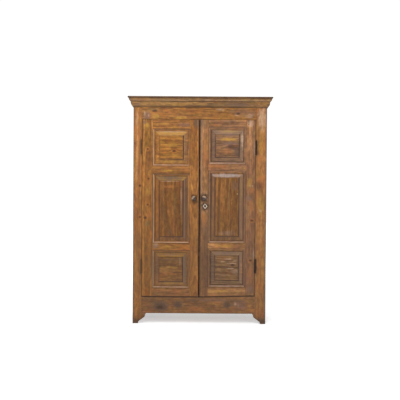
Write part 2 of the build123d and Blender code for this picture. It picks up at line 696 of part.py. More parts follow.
with BuildPart() as lock_bolt:
    block(BOLT_X, behind_face(BOLT_DEPTHS), BOLT_HEIGHT)
    talon_height = (BOLT_HEIGHT[0], BOLT_HEIGHT[0] + TALON_H)
    block(TALON_X, behind_face(BOLT_DEPTHS), talon_height, mode=Mode.SUBTRACT)
save(lock_bolt, "lock_bolt")

# ================================================================ slide bolt
PLATE_DEPTHS = (DOOR_T, DOOR_T + SLIDE_PLATE_T)

with BuildPart() as left_door_slide_bolt_plate:
    block(grow((SLIDE_X, SLIDE_X), SLIDE_PLATE_W / 2), behind_face(PLATE_DEPTHS), SLIDE_PLATE_HEIGHT)
    for guide_z in GUIDE_CENTRES:
        block(
            grow((SLIDE_X, SLIDE_X), GUIDE_W / 2),
            behind_face((PLATE_DEPTHS[1], SLIDE_DEPTHS[1] + SLIDE_PLAY + GUIDE_WALL)),
            grow((guide_z, guide_z), GUIDE_H / 2),
        )
    slideway = (grow(SLIDE_WIDTH, SLIDE_PLAY), grow(behind_face(SLIDE_DEPTHS), SLIDE_PLAY))
    block(*slideway, SLIDE_PLATE_HEIGHT, mode=Mode.SUBTRACT)
save(left_door_slide_bolt_plate, "left_door_slide_bolt_plate")

with BuildPart() as slide_bolt:
    block(SLIDE_WIDTH, behind_face(SLIDE_DEPTHS), SLIDE_HEIGHT)
    with Locations(face_at(SLIDE_DEPTHS[1]).location * Location((SLIDE_X, SLIDE_KNOB_Z, 0))):
        Cylinder(SLIDE_KNOB_R, SLIDE_KNOB_L, align=(Align.CENTER, Align.CENTER, Align.MAX))
save(slide_bolt, "slide_bolt")


# ================================================================ hinges
def hinge_leaves(name, hand, on_frame, own_knuckles):
    """The leaves that the frame or a door carries: knuckles, their necks, and a plate in the seam."""
    seam_x, axis_x, heights = SEAM_X[hand], HINGE_X[hand], HINGE_HEIGHTS[hand]
    outward = -1 if hand == "left" else 1
    side = outward if on_frame else -outward
    knuckle_h = KNUCKLE_PITCH - KNUCKLE_GAP
    first = KNUCKLE_PITCH * (1 - KNUCKLES) / 2
    knuckle_heights = [z + first + number * KNUCKLE_PITCH for z in heights for number in own_knuckles]
    plate = (seam_x + side * LEAF_PLAY, seam_x + side * (LEAF_PLAY + LEAF_T))
    neck = (plate[0], seam_x + outward * (LEAF_PLAY + LEAF_T))
    with BuildPart() as leaves:
        with Locations(*[(axis_x, HINGE_Y, z) for z in knuckle_heights]):
            Cylinder(BARREL_R, knuckle_h)
        for z in knuckle_heights:
            block(plate, (HINGE_Y, FRONT_Y), grow((z, z), knuckle_h / 2))
            block(neck, (HINGE_Y, HINGE_Y + NECK_T), grow((z, z), knuckle_h / 2))
        for z in heights:
            block(plate, behind_face((0, LEAF_DEPTH)), grow((z, z), BARREL_L / 2))
        with Locations(*[(axis_x, HINGE_Y, z) for z in heights]):
            Cylinder(PIN_R + PIN_CLEARANCE, BARREL_L, mode=Mode.SUBTRACT)
    save(leaves, name)


for hand in HINGE_HEIGHTS:
    hinge_leaves(f"{hand}_hinge_frame_leaves", hand, True, range(0, KNUCKLES, 2))
    hinge_leaves(f"{hand}_door_hinge_leaves", hand, False, range(1, KNUCKLES, 2))

with BuildPart() as hinge_pins:
    with Locations(*[(HINGE_X[hand], HINGE_Y, z) for hand in HINGE_HEIGHTS for z in HINGE_HEIGHTS[hand]]):
        Cylinder(PIN_R, BARREL_L + 2 * PIN_PROUD)
save(hinge_pins, "hinge_pins")
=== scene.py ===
"""Finishes the trastero, a tall two-door store cupboard in old waxed pine, on a pale studio floor.

Metres. +X runs to the right as one faces the doors, the doors face -Y, and +Z is up. A depth is measured
back from the front face of the frame and doors. Colours are linear red, green and blue.
"""

import functools
import json
import math
import random

import bmesh
import bpy
from bpy.props import FloatProperty, FloatVectorProperty, IntProperty, PointerProperty
from mathutils import Matrix, Vector


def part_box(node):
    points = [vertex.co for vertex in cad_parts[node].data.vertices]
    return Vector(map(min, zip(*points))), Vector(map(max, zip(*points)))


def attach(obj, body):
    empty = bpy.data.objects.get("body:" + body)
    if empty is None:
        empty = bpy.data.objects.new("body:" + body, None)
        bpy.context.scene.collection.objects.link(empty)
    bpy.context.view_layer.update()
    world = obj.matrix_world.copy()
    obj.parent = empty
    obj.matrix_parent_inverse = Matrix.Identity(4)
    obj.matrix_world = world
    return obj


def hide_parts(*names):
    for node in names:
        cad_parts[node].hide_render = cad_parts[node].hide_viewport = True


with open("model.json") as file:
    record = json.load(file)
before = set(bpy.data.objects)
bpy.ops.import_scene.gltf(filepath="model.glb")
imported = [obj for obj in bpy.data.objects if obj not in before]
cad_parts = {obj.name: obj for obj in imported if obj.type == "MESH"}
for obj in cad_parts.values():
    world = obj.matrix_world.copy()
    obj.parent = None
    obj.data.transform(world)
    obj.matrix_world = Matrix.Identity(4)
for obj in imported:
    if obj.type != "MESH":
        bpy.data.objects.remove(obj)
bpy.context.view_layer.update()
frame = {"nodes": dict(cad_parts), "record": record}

bl_info = {
    "name": "Trastero Cupboard",
    "version": (1, 0, 0),
    "blender": (4, 5, 0),
    "location": "3D View > Sidebar > Trastero",
    "description": "Finishes a pine store cupboard: worn boards, turned knobs, ironwork and a studio stage",
    "category": "Object",
}

MM = 0.001
NODES = frame["nodes"]
BODY_OF = {node: body for body, nodes in frame["record"]["behaviour"]["bodies"].items() for node in nodes}
SLOT_OF = {part["node"]: part["material_slot"] for part in frame["record"]["subparts"]}

FRONT_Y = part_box("frame_top_rail")[0].y
BACK_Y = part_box("back_board_1")[1].y
CAP_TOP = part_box("cap_board_front")[1].z
BODY_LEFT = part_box("left_frame_stile")[0].x
BODY_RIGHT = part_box("right_frame_stile")[1].x
GAP_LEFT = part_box("left_door_meeting_stile")[1].x
GAP_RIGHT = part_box("right_door_meeting_stile")[0].x
DOOR_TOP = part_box("left_door_hinge_stile")[1].z
DOOR_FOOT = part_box("left_door_hinge_stile")[0].z
RIGHT_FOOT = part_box("apron")[1].z
APRON_FOOT = 80 * MM
CAP_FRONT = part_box("cap_board_front")[0].y
CAP_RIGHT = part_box("cap_board_front")[1].x
CORNICE_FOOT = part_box("cornice_lower_front")[0].z

# the edges that wear or are filed are at least this long
SHORTEST_WORN = 12 * MM
SHORTEST_FILED = 3 * MM
# a nail's dent reaches a little past its head, and its walls lean inwards
NAIL_DENT = 0.8 * MM
DENT_MARGIN = 0.6 * MM
DENT_LEAN = 0.5 * MM
# the faces of two slopes turn by so many degrees where they meet at a mitre
MITRE_TURN = (5.0, 20.0)
# a board is sawn from a log whose heart stands off its middle, and wanders along and through it
HEART_OFF = 45 * MM
HEART_WANDER = 20 * MM
HEART_WANDER_THROUGH = 75 * MM
# how far the tints of like boards differ: of planed boards, and of rough ones
TINT_SPREAD = 0.07
ROUGH_TINT_SPREAD = 0.18

HANDS = ("left", "right")
BACK_BOARDS = 5
SHELVES = ("lower_shelf", "middle_shelf", "upper_shelf")
DOOR_MEMBERS = ("hinge_stile", "meeting_stile", "bottom_rail", "lower_mid_rail", "upper_mid_rail", "top_rail")
DOOR_PANELS = ("lower_panel", "middle_panel", "upper_panel")

# the colours of old patches of wax, wear and dirt on the boards, and of the painted light and shade laid on
# mouldings, slopes and corners
MARKS = {
    "ochre": (0.470, 0.245, 0.034),
    "rust": (0.400, 0.140, 0.036),
    "olive": (0.190, 0.115, 0.036),
    "bloom": (0.175, 0.100, 0.075),
    "pale": (0.520, 0.330, 0.205),
    "ash": (0.330, 0.225, 0.165),
    # a grey painted highlight, laid where faces turn up to the light
    "painted_highlight": (0.380, 0.300, 0.270),
    "smoke": (0.110, 0.068, 0.042),
    "dark": (0.070, 0.032, 0.016),
}

# each board's tone: the colour of its wax and age, before grain and dirt
TONES = {
    "honey": (0.365, 0.144, 0.031),
    "amber": (0.325, 0.131, 0.025),
    "tan": (0.378, 0.158, 0.042),
    "chestnut": (0.300, 0.137, 0.053),
    "brown": (0.235, 0.096, 0.019),
    "gold": (0.322, 0.134, 0.019),
    "russet": (0.218, 0.084, 0.014),
    "walnut": (0.252, 0.107, 0.028),
    "nutmeg": (0.298, 0.130, 0.044),
    "hazel": (0.230, 0.115, 0.042),
    "mauve": (0.230, 0.110, 0.048),
    "moulding": (0.268, 0.130, 0.034),
    "umber": (0.262, 0.115, 0.036),
    "straw": (0.370, 0.172, 0.056),
    "bare": (0.360, 0.205, 0.095),
    "rough": (0.280, 0.165, 0.085),
}
# the tone of each board on the front, and how far it has darkened
BOARD_TONES = {
    "left_frame_stile": ("honey", 0.94),
    "right_frame_stile": ("tan", 0.90),
    "frame_top_rail": ("amber", 0.84),
    "apron": ("umber", 1.07),
    "left_door_hinge_stile": ("amber", 1.02),
    "left_door_meeting_stile": ("honey", 1.00),
    "left_door_top_rail": ("amber", 0.86),
    "left_door_upper_mid_rail": ("honey", 0.86),
    "left_door_lower_mid_rail": ("amber", 1.06),
    "left_door_bottom_rail": ("umber", 1.12),
    "left_door_upper_panel": ("gold", 0.92),
    "left_door_middle_panel": ("russet", 0.84),
    "left_door_lower_panel": ("walnut", 0.93),
    "right_door_hinge_stile": ("chestnut", 0.98),
    "right_door_meeting_stile": ("nutmeg", 1.00),
    "right_door_top_rail": ("chestnut", 1.00),
    "right_door_upper_mid_rail": ("chestnut", 1.05),
    "right_door_lower_mid_rail": ("straw", 0.88),
    "right_door_bottom_rail": ("straw", 1.08),
    "right_door_upper_panel": ("mauve", 0.79),
    "right_door_middle_panel": ("brown", 0.97),
    "right_door_lower_panel": ("hazel", 0.84),
}
SLOT_TONES = {
    "case_pine": ("amber", 0.95),
    "inner_pine": ("bare", 1.0),
    "back_pine": ("rough", 1.0),
    "cornice_pine": ("moulding", 0.88),
}
PLAIN_TONE = ("umber", 1.0)


# ================================================================ settings
def colour(name, description, value):
    return FloatVectorProperty(
        name=name, description=description, subtype="COLOR", size=3, min=0.0, max=1.0, default=value
    )


def length(name, description, value):
    return FloatProperty(name=name, description=description, default=value, min=0.0, unit="LENGTH")


class TrasteroWood(bpy.types.PropertyGroup):
    """Finish of every board."""

    ring_pitch: length("Ring pitch", "Mean width of a year's growth across the heart of the log", 5.2 * MM)
    arris: length("Arris wear", "How far the long edges of a board are worn back", 1.3 * MM)
    # also the colour of the painted shade in the hollows of the mouldings and on faces turned from the light
    grime_and_shade: colour("Grime", "Wax and dirt that settles in corners", (0.040, 0.019, 0.009))
    knot: colour("Knot", "Heart of a knot", (0.060, 0.024, 0.009))
    wax: FloatProperty(name="Wax", description="Sheen of the wax coat", default=0.06, min=0.0, max=1.0)


class TrasteroKnob(bpy.types.PropertyGroup):
    """Shape and finish of the turned knobs."""

    neck_radius: length("Neck radius", "Radius of the waist behind the head", 8.6 * MM)
    foot_radius: length("Foot radius", "Radius of the foot that meets the door", 12.5 * MM)
    steps: IntProperty(name="Turning steps", description="Faces round a knob", default=64, min=16, max=128)
    stain: colour("Stain", "Dark stained wood of the knobs", (0.070, 0.032, 0.019))
    # the crown's colour: wood worn pale, and a painted highlight on its upper side
    rubbed_and_highlight: colour("Rubbed", "Crown of a knob, rubbed pale by hands", (0.430, 0.285, 0.190))


class TrasteroIron(bpy.types.PropertyGroup):
    """Finish and small parts of the ironwork."""

    black: colour("Black iron", "Forged iron under old wax", (0.020, 0.017, 0.015))
    rust: colour("Rust", "Dull rust in the pits of the iron", (0.090, 0.038, 0.018))
    waxed: colour("Waxed iron", "Iron covered with old brown wax", (0.150, 0.072, 0.030))
    edge: length("Filed edge", "How far iron edges are filed back", 0.4 * MM)
    screw_radius: length("Screw radius", "Radius of a hinge screw's head", 3.6 * MM)
    nail_radius: length("Nail radius", "Radius of a cut nail's head", 3.0 * MM)


class TrasteroStage(bpy.types.PropertyGroup):
    """Floor, light and camera."""

    camera_distance: length("Camera distance", "From the front face to the camera", 4.5)
    camera_side: length("Camera side", "How far the camera stands to the right of the middle", 0.002)
    camera_height: length("Camera height", "Height of the camera above the floor", 1.074)
    aim_height: length("Aim height", "Height of the picture's centre on the front face", 0.994)
    focal: FloatProperty(name="Focal length", description="Lens in millimetres", default=50.6, min=10.0)
    roll: FloatProperty(
        name="Roll", description="Tilt of the camera", default=math.radians(0.4), unit="ROTATION"
    )
    floor: colour("Floor", "Pale painted floor", (0.88, 0.90, 0.90))
    # the colours of the floor's glow: painted light for what it gives back, and a cooler painted shadow under
    # the cupboard
    painted_bounce: colour("Bounce", "Light that the floor gives back", (0.88, 0.91, 0.93))
    shade: colour("Shade", "Light that the floor gives back under the cupboard", (0.83, 0.95, 1.00))


class TrasteroSettings(bpy.types.PropertyGroup):
    """Everything that a user would change."""

    wood: PointerProperty(type=TrasteroWood)
    knob: PointerProperty(type=TrasteroKnob)
    iron: PointerProperty(type=TrasteroIron)
    stage: PointerProperty(type=TrasteroStage)


def settings():
    return bpy.context.scene.trastero


# ================================================================ shader building
class Shader:
    """A material in the making, with short ways to add and join its nodes."""

    def __init__(self, name, fixed=None):
        """The fixed values are those of the surface's own sockets, the same all over it."""
        self.material = bpy.data.materials.new(name)
        self.material.use_nodes = True
        self.nodes = self.material.node_tree.nodes
        self.links = self.material.node_tree.links
        self.surface = self.nodes["Principled BSDF"]
        for socket, value in (fixed or {}).items():
            self.surface.inputs[socket].default_value = value
        coordinates = self.add("ShaderNodeTexCoord")
        self.place = coordinates.outputs["Object"]
        self.x, self.y, self.z = self.split(self.place)
        self.side, _, self.up = self.split(coordinates.outputs["Normal"])

    def join(self, value, socket):
        """Link a socket, or set a plain value; a colour of three numbers becomes opaque."""
        if isinstance(value, bpy.types.NodeSocket):
            self.links.new(value, socket)
        elif socket.type == "RGBA":
            socket.default_value = (*value[:3], 1.0)
        else:
            socket.default_value = value

    def add(self, kind, inputs=None, **options):
        node = self.nodes.new(kind)
        for name, value in options.items():
            setattr(node, name, value)
        for key, value in (inputs or {}).items():
            self.join(value, node.inputs[key])
        return node

    def attribute(self, name):
        return self.add("ShaderNodeAttribute", attribute_name=name).outputs["Vector"]

    def split(self, vector):
        return self.add("ShaderNodeSeparateXYZ", {0: vector}).outputs[:]

    def combine(self, x, y, z):
        return self.add("ShaderNodeCombineXYZ", {0: x, 1: y, 2: z}).outputs[0]

    def grey(self, value):
        return self.combine(value, value, value)

    def math(self, operation, *values):
        return self.add("ShaderNodeMath", dict(enumerate(values)), operation=operation).outputs[0]

    def fold(self, operation, values):
        """Work a row of values into one, from left to right."""
        return functools.reduce(lambda so_far, value: self.math(operation, so_far, value), values)

    def total(self, *values):
        return self.fold("ADD", values)

    def product(self, *values):
        return self.fold("MULTIPLY", values)

    def widest(self, *masks):
        return self.fold("MAXIMUM", masks)

    def less(self, value, other):
        return self.math("SUBTRACT", value, other)

    def apart(self, value, other):
        """How far two values are apart, either way."""
        return self.math("ABSOLUTE", self.less(value, other))

    def vector(self, operation, *values, output="Vector"):
        node = self.add("ShaderNodeVectorMath", dict(enumerate(values)), operation=operation)
        return node.outputs[output]

    def times(self, vector, factors):
        return self.vector("MULTIPLY", vector, factors)

    def size(self, vector):
        return self.vector("LENGTH", vector, output="Value")

    def step(self, value, start, stop, low=0.0, high=1.0):
        """A smooth change from low, where value is start, to high, where it is stop."""
        inputs = {"Value": value, "From Min": start, "From Max": stop, "To Min": low, "To Max": high}
        return self.add("ShaderNodeMapRange", inputs, interpolation_type="SMOOTHSTEP").outputs["Result"]

    def inside(self, value, start, stop, soft, strength=1.0):
        """A mask of the values between start and stop, with soft ends."""
        opens = self.step(value, start - soft, start + soft, 0.0, strength)
        return self.product(opens, self.step(value, stop + soft, stop - soft))

    def noise(self, place, scale, detail=2.0, roughness=0.5):
        inputs = {"Vector": place, "Scale": scale, "Detail": detail, "Roughness": roughness}
        return self.add("ShaderNodeTexNoise", inputs).outputs[0]

    def swing(self, place, scale, amount, detail=1.0):
        """Noise that swings about nought by up to about half of amount either way."""
        return self.product(self.less(self.noise(place, scale, detail), 0.5), amount)

    def mix(self, factor, a, b, blend="MIX"):
        inputs = {0: factor, 6: a, 7: b}
        return self.add("ShaderNodeMix", inputs, data_type="RGBA", blend_type=blend).outputs[2]

    def curve(self, value, stops):
        """A value that changes smoothly through (position, level) stops."""
        node = self.add("ShaderNodeValToRGB", {"Fac": value})
        elements = node.color_ramp.elements
        elements.remove(elements[1])
        for number, (position, level) in enumerate(stops):
            element = elements[0] if number == 0 else elements.new(position)
            element.position = position
            element.color = (level, level, level, 1.0)
        return node.outputs["Color"]

    def finish(self, base, roughness, height, distance, strength=0.6):
        """Feed the surface its colour, roughness and relief."""
        relief = {"Strength": strength, "Distance": distance, "Height": height}
        bump = self.add("ShaderNodeBump", relief).outputs["Normal"]
        for name, value in (("Base Color", base), ("Roughness", roughness), ("Normal", bump)):
            self.join(value, self.surface.inputs[name])
        return self.material


# ================================================================ pine
def near(shader, across, height, reach_across, reach_up, on_side=False):
    """How far off a place on the front, or on a side, is, as a share of its reach across and upwards."""
    place = Vector((across, 0.0, height))
    shares = Vector((1.0 / reach_across, 0.0, 1.0 / reach_up))
    if on_side:
        place, shares = place.yxz, shares.yxz
    return shader.size(shader.times(shader.vector("SUBTRACT", shader.place, place), shares))


def knot_spots(board, knots, on_side):
    """Masks of knots: (dark hearts, how far the rings bend, ruddy halos).

    A knot is (place across the board, height, radius, stretch across); on_side is true for the planks at
    the sides, which lie across Y.
    """
    hearts, bends, halos = [], [], []
    for across, height, radius, stretch in knots:
        off = near(board, across, height, radius * stretch, radius, on_side)
        reach = board.total(off, board.swing(board.place, 60.0, 0.8))
        hearts.append(board.step(reach, 1.5, 0.5))
        bends.append(board.product(board.step(reach, 3.6, 0.2), radius * 0.45))
        halos.append(board.step(reach, 2.6, 0.8))
    return hearts, bends, halos


class Board(Shader):
    """The material of a board, in the board's own space, with the masks that its stains share."""

    def __init__(self, name, fixed, grain):
        """Across, through and along the grain are measured from the heart of the board's log."""
        super().__init__(name, fixed)
        heart = self.attribute("heart")
        x, y, z = self.split(self.vector("SUBTRACT", self.place, heart))
        across, through, along = {"X": (z, y, x), "Y": (x, z, y), "Z": (x, y, z)}[grain]
        self.seed = self.product(self.total(*self.split(heart)), 91.0)
        along = self.total(along, self.seed)
        line = self.combine(self.seed, 0.0, along)
        across = self.total(across, self.swing(line, 1.1, 0.075))
        through = self.total(through, self.swing(line, 0.8, 0.060))
        self.radius = self.size(self.combine(across, through, 0.0))
        self.log_place = self.combine(across, through, along)
        self.clouds = self.figure(6.0, 2.2, 4.0, 0.6)
        self.blotches = self.figure(16.0, 9.0, 3.0, 0.6)
        self.mottle = self.figure(58.0, 24.0, 3.0, 0.6)
        self.depth = self.math("DIVIDE", self.less(self.y, FRONT_Y), MM)
        self.front = self.step(self.depth, 17.0, 13.0)
        self.patchy = self.step(self.blotches, 0.25, 0.75, 0.62, 1.12)
        self.broken = self.step(self.mottle, 0.25, 0.68, 0.45, 1.05)
        self.ragged = self.swing(self.place, 42.0, 1.1, 3.0)
        self.marks = {kind: [] for kind in (*MARKS, "grime_and_shade")}

    def drawn_out(self, across, along):
        """The board's space, scaled so that noise on it is drawn out along the grain."""
        return self.times(self.log_place, (across, across, along))

    def figure(self, across, along, detail=1.0, roughness=0.5):
        """Noise drawn out along the grain."""
        return self.noise(self.drawn_out(across, along), 1.0, detail, roughness)

    def year_rings(self, bends):
        """Masks of the rings: (late wood of each year, dark decades, dark single years)."""
        sway = self.swing(self.drawn_out(9.0, 1.5), 1.0, 0.018, 3.0)
        ripple = self.swing(self.drawn_out(34.0, 9.0), 1.0, 0.0035, 2.0)
        rings = self.total(self.radius, sway, ripple, *bends)
        year = self.math("FRACT", self.math("DIVIDE", rings, settings().wood.ring_pitch))
        late = self.product(self.step(year, 0.45, 0.90), self.step(year, 1.0, 0.95))
        line = self.combine(rings, self.seed, 0.0)
        return late, self.noise(line, 58.0), self.noise(line, 150.0)

    def mark(self, kind, *masks):
        """Add a mask, the product of some, to the marks of one kind."""
        self.marks[kind].append(self.product(*masks))

    def marked(self, kind, most):
        """All marks of one kind as one mask."""
        return self.math("MINIMUM", self.widest(*self.marks[kind]), most)


def pine(name, grain, knots=(), stains_and_shading=(), bold=1.0, dull=0.0, floor_shade=0.30, on_side=False):
    """Old waxed pine whose grain runs along one axis.

    Each piece carries its own heart, the place of its log's centre line, and its own tint. The
    stains_and_shading are
    functions that mark the board: settled dirt, worn and greyed wood, patches of colour, and painted light and
    shade. Bold says how strongly the grain stands out, dull how much of the wax is gone, and floor_shade how
    far painted shade darkens the wood towards the floor.
    """
    wood = settings().wood
    coat = {"Coat Weight": wood.wax * (1.0 - dull), "Coat Roughness": 0.32, "Specular IOR Level": 0.3}
    board = Board(name, coat, grain)
    hearts, bends, halos = knot_spots(board, knots, on_side)
    late, decades, years = board.year_rings(bends)

    # broad clouds of wax and mottling, with blushes, streaks of resin, fibres and pores
    clouds, blotches, mottle = board.clouds, board.blotches, board.mottle
    blush = board.figure(38.0, 15.0, 2.0)
    streaks = board.figure(75.0, 4.0, 3.0, 0.65)
    bands = board.figure(30.0, 2.4, 4.0, 0.7)
    fibres = board.figure(420.0, 9.0, 5.0, 0.75)
    pores = board.figure(900.0, 42.0, 2.0, 0.7)

    # shades of the board's tint, and the masks that lay them over each other
    tint = board.attribute("tint")
    bright = 1.0 + 0.38 * (bold - 1.0)
    waxed = 1.0 - 0.65 * dull
    base = board.times(tint, (1.46 * bright, 1.50 * bright, 1.54 * bright))
    deep = board.times(tint, (0.38, 0.29, 0.26))
    ruddy = board.times(tint, (1.32, 0.90, 0.58))
    tawny = board.times(tint, (1.16, 1.34, 0.90))
    plum = board.times(tint, (0.72, 0.64, 0.98))
    for mask, shade in (
        (board.product(late, 0.55), deep),
        (board.step(decades, 0.46, 0.62, 0.0, 0.46 * bold), deep),
        (board.step(years, 0.50, 0.70, 0.0, 0.42 * bold), deep),
        (board.step(streaks, 0.48, 0.72, 0.0, 0.36 * bold), deep),
        (board.step(bands, 0.48, 0.70, 0.0, 0.34 * bold), deep),
        (board.step(blotches, 0.50, 0.74, 0.0, 0.55 * waxed), ruddy),
        (board.step(blush, 0.53, 0.68, 0.0, 0.50 * waxed), tawny),
        (board.step(blush, 0.47, 0.30, 0.0, 0.50 * waxed), plum),
    ):
        base = board.mix(mask, base, shade)
    for level in (
        board.step(mottle, 0.30, 0.70, 0.72, 1.28),
        board.step(clouds, 0.28, 0.74, 0.74, 1.15),
        board.step(fibres, 0.32, 0.68, 0.78, 1.18),
    ):
        base = board.mix(1.0, base, board.grey(level), "MULTIPLY")
    base = board.mix(board.step(pores, 0.60, 0.76, 0.0, 0.55), base, deep)
    if halos:
        base = board.mix(board.product(board.widest(*halos), 0.32), base, ruddy)

    # worm holes, in the few places where the beetle got in
    spots = board.add("ShaderNodeTexVoronoi", {"Vector": board.log_place, "Scale": 34.0}).outputs["Distance"]
    eaten = board.product(board.step(spots, 0.042, 0.026), board.step(clouds, 0.52, 0.60))
    base = board.mix(board.product(eaten, 0.9), base, wood.grime_and_shade)

    # painted shade that darkens the wood towards the floor, then the marks of long use and painted light and
    # shade
    low = board.step(board.z, 1.75, 0.45, 0.0, floor_shade)
    base = board.mix(low, base, board.times(tint, (0.46, 0.48, 0.52)))
    board.mark("grime_and_shade", board.step(board.z, 0.11, 0.0, 0.0, 0.55))
    for stain in stains_and_shading:
        stain(board)
    for kind, shade in MARKS.items():
        if board.marks[kind]:
            base = board.mix(board.marked(kind, 0.95), base, shade)
    if hearts:
        base = board.mix(board.product(board.widest(*hearts), 0.88), base, wood.knot)
    # these marks hold real dirt and the painted shade of the mouldings and panels
    grime_and_shade = board.marked("grime_and_shade", 1.0)
    base = board.mix(grime_and_shade, base, wood.grime_and_shade)

    rough = board.step(clouds, 0.3, 0.7, 0.38 + 0.3 * dull, 0.54 + 0.3 * dull)
    rough = board.total(rough, board.product(grime_and_shade, 0.16))
    waves = board.figure(26.0, 5.0)
    relief = ((late, 0.30), (fibres, 0.35), (mottle, 0.8), (waves, 1.6), (eaten, -2.0))
    height = board.total(*[board.product(part, share) for part, share in relief])
    return board.finish(base, rough, height, 0.5 * MM)


# ---- marks of the boards: each adds masks to a board's marks, or gives a function that does; they lay dirt, wear and patches of colour, and painted light and shade
def facing(board, way):
    """Mask of the surfaces that face up, down, left or right, for painting light and shade by the way a face
    turns.
    """
    lean = board.side if way in ("left", "right") else board.up
    sign = 1.0 if way in ("right", "up") else -1.0
    return board.step(lean, sign * 0.05, sign * 0.13)


def patches(spots_by_kind):
    """Old patches of colour on the front, broken up by the grain.

    Each is (place across, height, reach across, reach up) in mm, and its strength.
    """

    def stain(board):
        for kind, spots in spots_by_kind.items():
            masks = []
            for *place, strength in spots:
                reach = board.total(near(board, *[MM * part for part in place]), board.ragged)
                masks.append(board.step(reach, 1.2, 0.3, 0.0, strength))
            board.mark(kind, board.widest(*masks), board.broken, board.front)

    return stain


def layer(kind, start, stop, strength, way=None, on_left=1.0, on_right=1.0):
    """A line of colour between two depths in mm, all round a moulding or only where it faces one way: painted
    shade in steps and hollows where dirt also lies, and painted light and shade on faces turned to and from
    the light.

    on_left and on_right say how much of its strength it has on each door.
    """

    def stain(board):
        line = board.product(board.inside(board.depth, start, stop, 0.3, strength), board.patchy)
        if way:
            line = board.product(line, facing(board, way))
        if on_left != on_right:
            door = board.step(board.x, GAP_LEFT, GAP_RIGHT, on_left, on_right)
            line = board.product(line, door, board.broken)
        board.mark(kind, line)

    return stain


def upright_line(kind, start, stop, strength, foot=0.0, head=2.0):
    """A line of colour up the front between two places across it."""

    def stain(board):
        line = board.inside(board.x, start, stop, 2 * MM, strength)
        board.mark(kind, line, board.broken, board.inside(board.z, foot, head, 12 * MM))

    return stain


def middle_of(node):
    low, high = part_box(node)
    return (low + high) / 2


def knob_grime(board):
    """Wood that hands have darkened and greyed round the knobs and the keyhole."""
    ragged = board.swing(board.place, 60.0, 1.0)
    for node, dark, pale in (
        ("left_door_knob", 0.60, 0.0),
        ("right_door_knob", 0.85, 0.15),
        ("right_door_escutcheon", 0.85, 0.15),
    ):
        centre = middle_of(node)
        reach = board.total(near(board, centre.x, centre.z, 40 * MM, 46 * MM), ragged)
        board.mark("grime_and_shade", board.step(reach, 1.0, 0.45, 0.0, dark), board.front)
        board.mark("ash", board.step(reach, 1.7, 0.9, 0.0, pale), board.broken, board.front)


def gap_wear_and_shade(board):
    """Greyed stile heads, a dull grey arris, and painted shade in and beside the gap between the doors."""
    off = board.apart(board.x, (GAP_LEFT + GAP_RIGHT) / 2)
    high = board.step(board.z, DOOR_TOP - 85 * MM, DOOR_TOP - 30 * MM)
    worn = board.step(board.patchy, 0.6, 1.1, 0.45, 0.85)
    board.mark("smoke", board.step(off, 62 * MM, 30 * MM), high, worn)
    arris = board.inside(board.x, GAP_RIGHT + 7 * MM, GAP_RIGHT + 17 * MM, 4 * MM, 0.42)
    board.mark("ash", arris, board.patchy, board.step(board.z, 0.96, 1.10))
    # painted shade beside the gap, and down the right door's edge, heavier below the knobs
    board.mark("dark", board.step(off, 14 * MM, 7 * MM, 0.0, 0.55))
    right = board.inside(board.x, GAP_RIGHT, GAP_RIGHT + 9 * MM, 4 * MM)
    board.mark("dark", right, board.step(board.z, 1.06, 0.95, 0.42, 0.92))


def foot_seam(board):
    """A dark band along the joint between the doors and the apron, which climbs to the right."""
    climb = board.step(board.x, 0.0, GAP_RIGHT + 0.44, 0.0, RIGHT_FOOT - DOOR_FOOT)
    off = board.apart(board.less(board.z, DOOR_FOOT - 1.5 * MM), climb)
    board.mark("dark", board.step(off, 9 * MM, 3 * MM, 0.0, 0.85))


def outer_arris_shade(board):
    """Painted shade on the outer corners of the case, darker still on the right, the side away from the light.
    """
    right = board.step(board.x, BODY_RIGHT - 11 * MM, BODY_RIGHT - 4 * MM)
    left = board.step(board.x, BODY_LEFT + 9 * MM, BODY_LEFT + 3 * MM, 0.0, 0.80)
    corner = board.product(board.widest(right, left), board.step(board.depth, 10.0, 5.0))
    board.mark("smoke", corner, board.step(board.patchy, 0.6, 1.0, 0.6, 1.0))


def apron_arris(board):
    """Dirt along the lower edge of the apron."""
    board.mark("dark", board.inside(board.z, APRON_FOOT, APRON_FOOT + 6 * MM, 3 * MM, 0.75), board.broken)


def rebate_dirt_and_shade(board):
    """Painted shade on the sides under the cornice, and dirt beside the face frame."""
    top = board.step(board.z, CORNICE_FOOT - 30 * MM, CORNICE_FOOT, 0.0, 0.8)
    front = board.step(board.depth, 40.0, 27.0, 0.0, 0.6)
    board.mark("smoke", board.widest(top, front), board.broken)


def board_seams(board):
    """Dirt along the laps between the back boards, on their outer and their inner faces."""
    for number in range(2, BACK_BOARDS + 1):
        low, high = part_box(f"back_board_{number}")
        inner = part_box(f"back_board_{number - 1}")[1].x
        lap = (low.y + high.y) / 2
        seam = board.step(board.y, lap - MM, lap + MM, inner, low.x)
        board.mark("dark", board.step(board.apart(board.x, seam), 7 * MM, 2 * MM, 0.0, 0.80))


def cornice_shade_and_dirt(board):
    """Painted shade at the foot of the cornice and between its mouldings, dirt on the cap's edge, and dark at
    the ends of the cap.
    """
    stops = [
        (0.00, 0.90), (0.08, 0.85), (0.12, 0.15), (0.24, 0.25), (0.38, 0.10), (0.50, 0.14), (0.53, 0.85),
        (0.56, 0.85), (0.59, 0.02), (0.66, 0.02), (0.74, 0.30), (0.80, 0.08), (0.85, 0.90), (1.00, 0.92),
    ]
    height = board.math("DIVIDE", board.less(board.z, CORNICE_FOOT), CAP_TOP - CORNICE_FOOT)
    worn = board.step(board.patchy, 0.6, 1.1, 0.62, 1.0)
    board.mark("dark", board.curve(height, stops), worn, board.step(board.up, 0.9, 0.6))
    off = board.math("ABSOLUTE", board.x)
    end = board.step(off, CAP_RIGHT - 40 * MM, CAP_RIGHT - 8 * MM, 0.0, 0.65)
    board.mark("smoke", end, board.step(board.y, CAP_FRONT + 50 * MM, CAP_FRONT + 10 * MM))


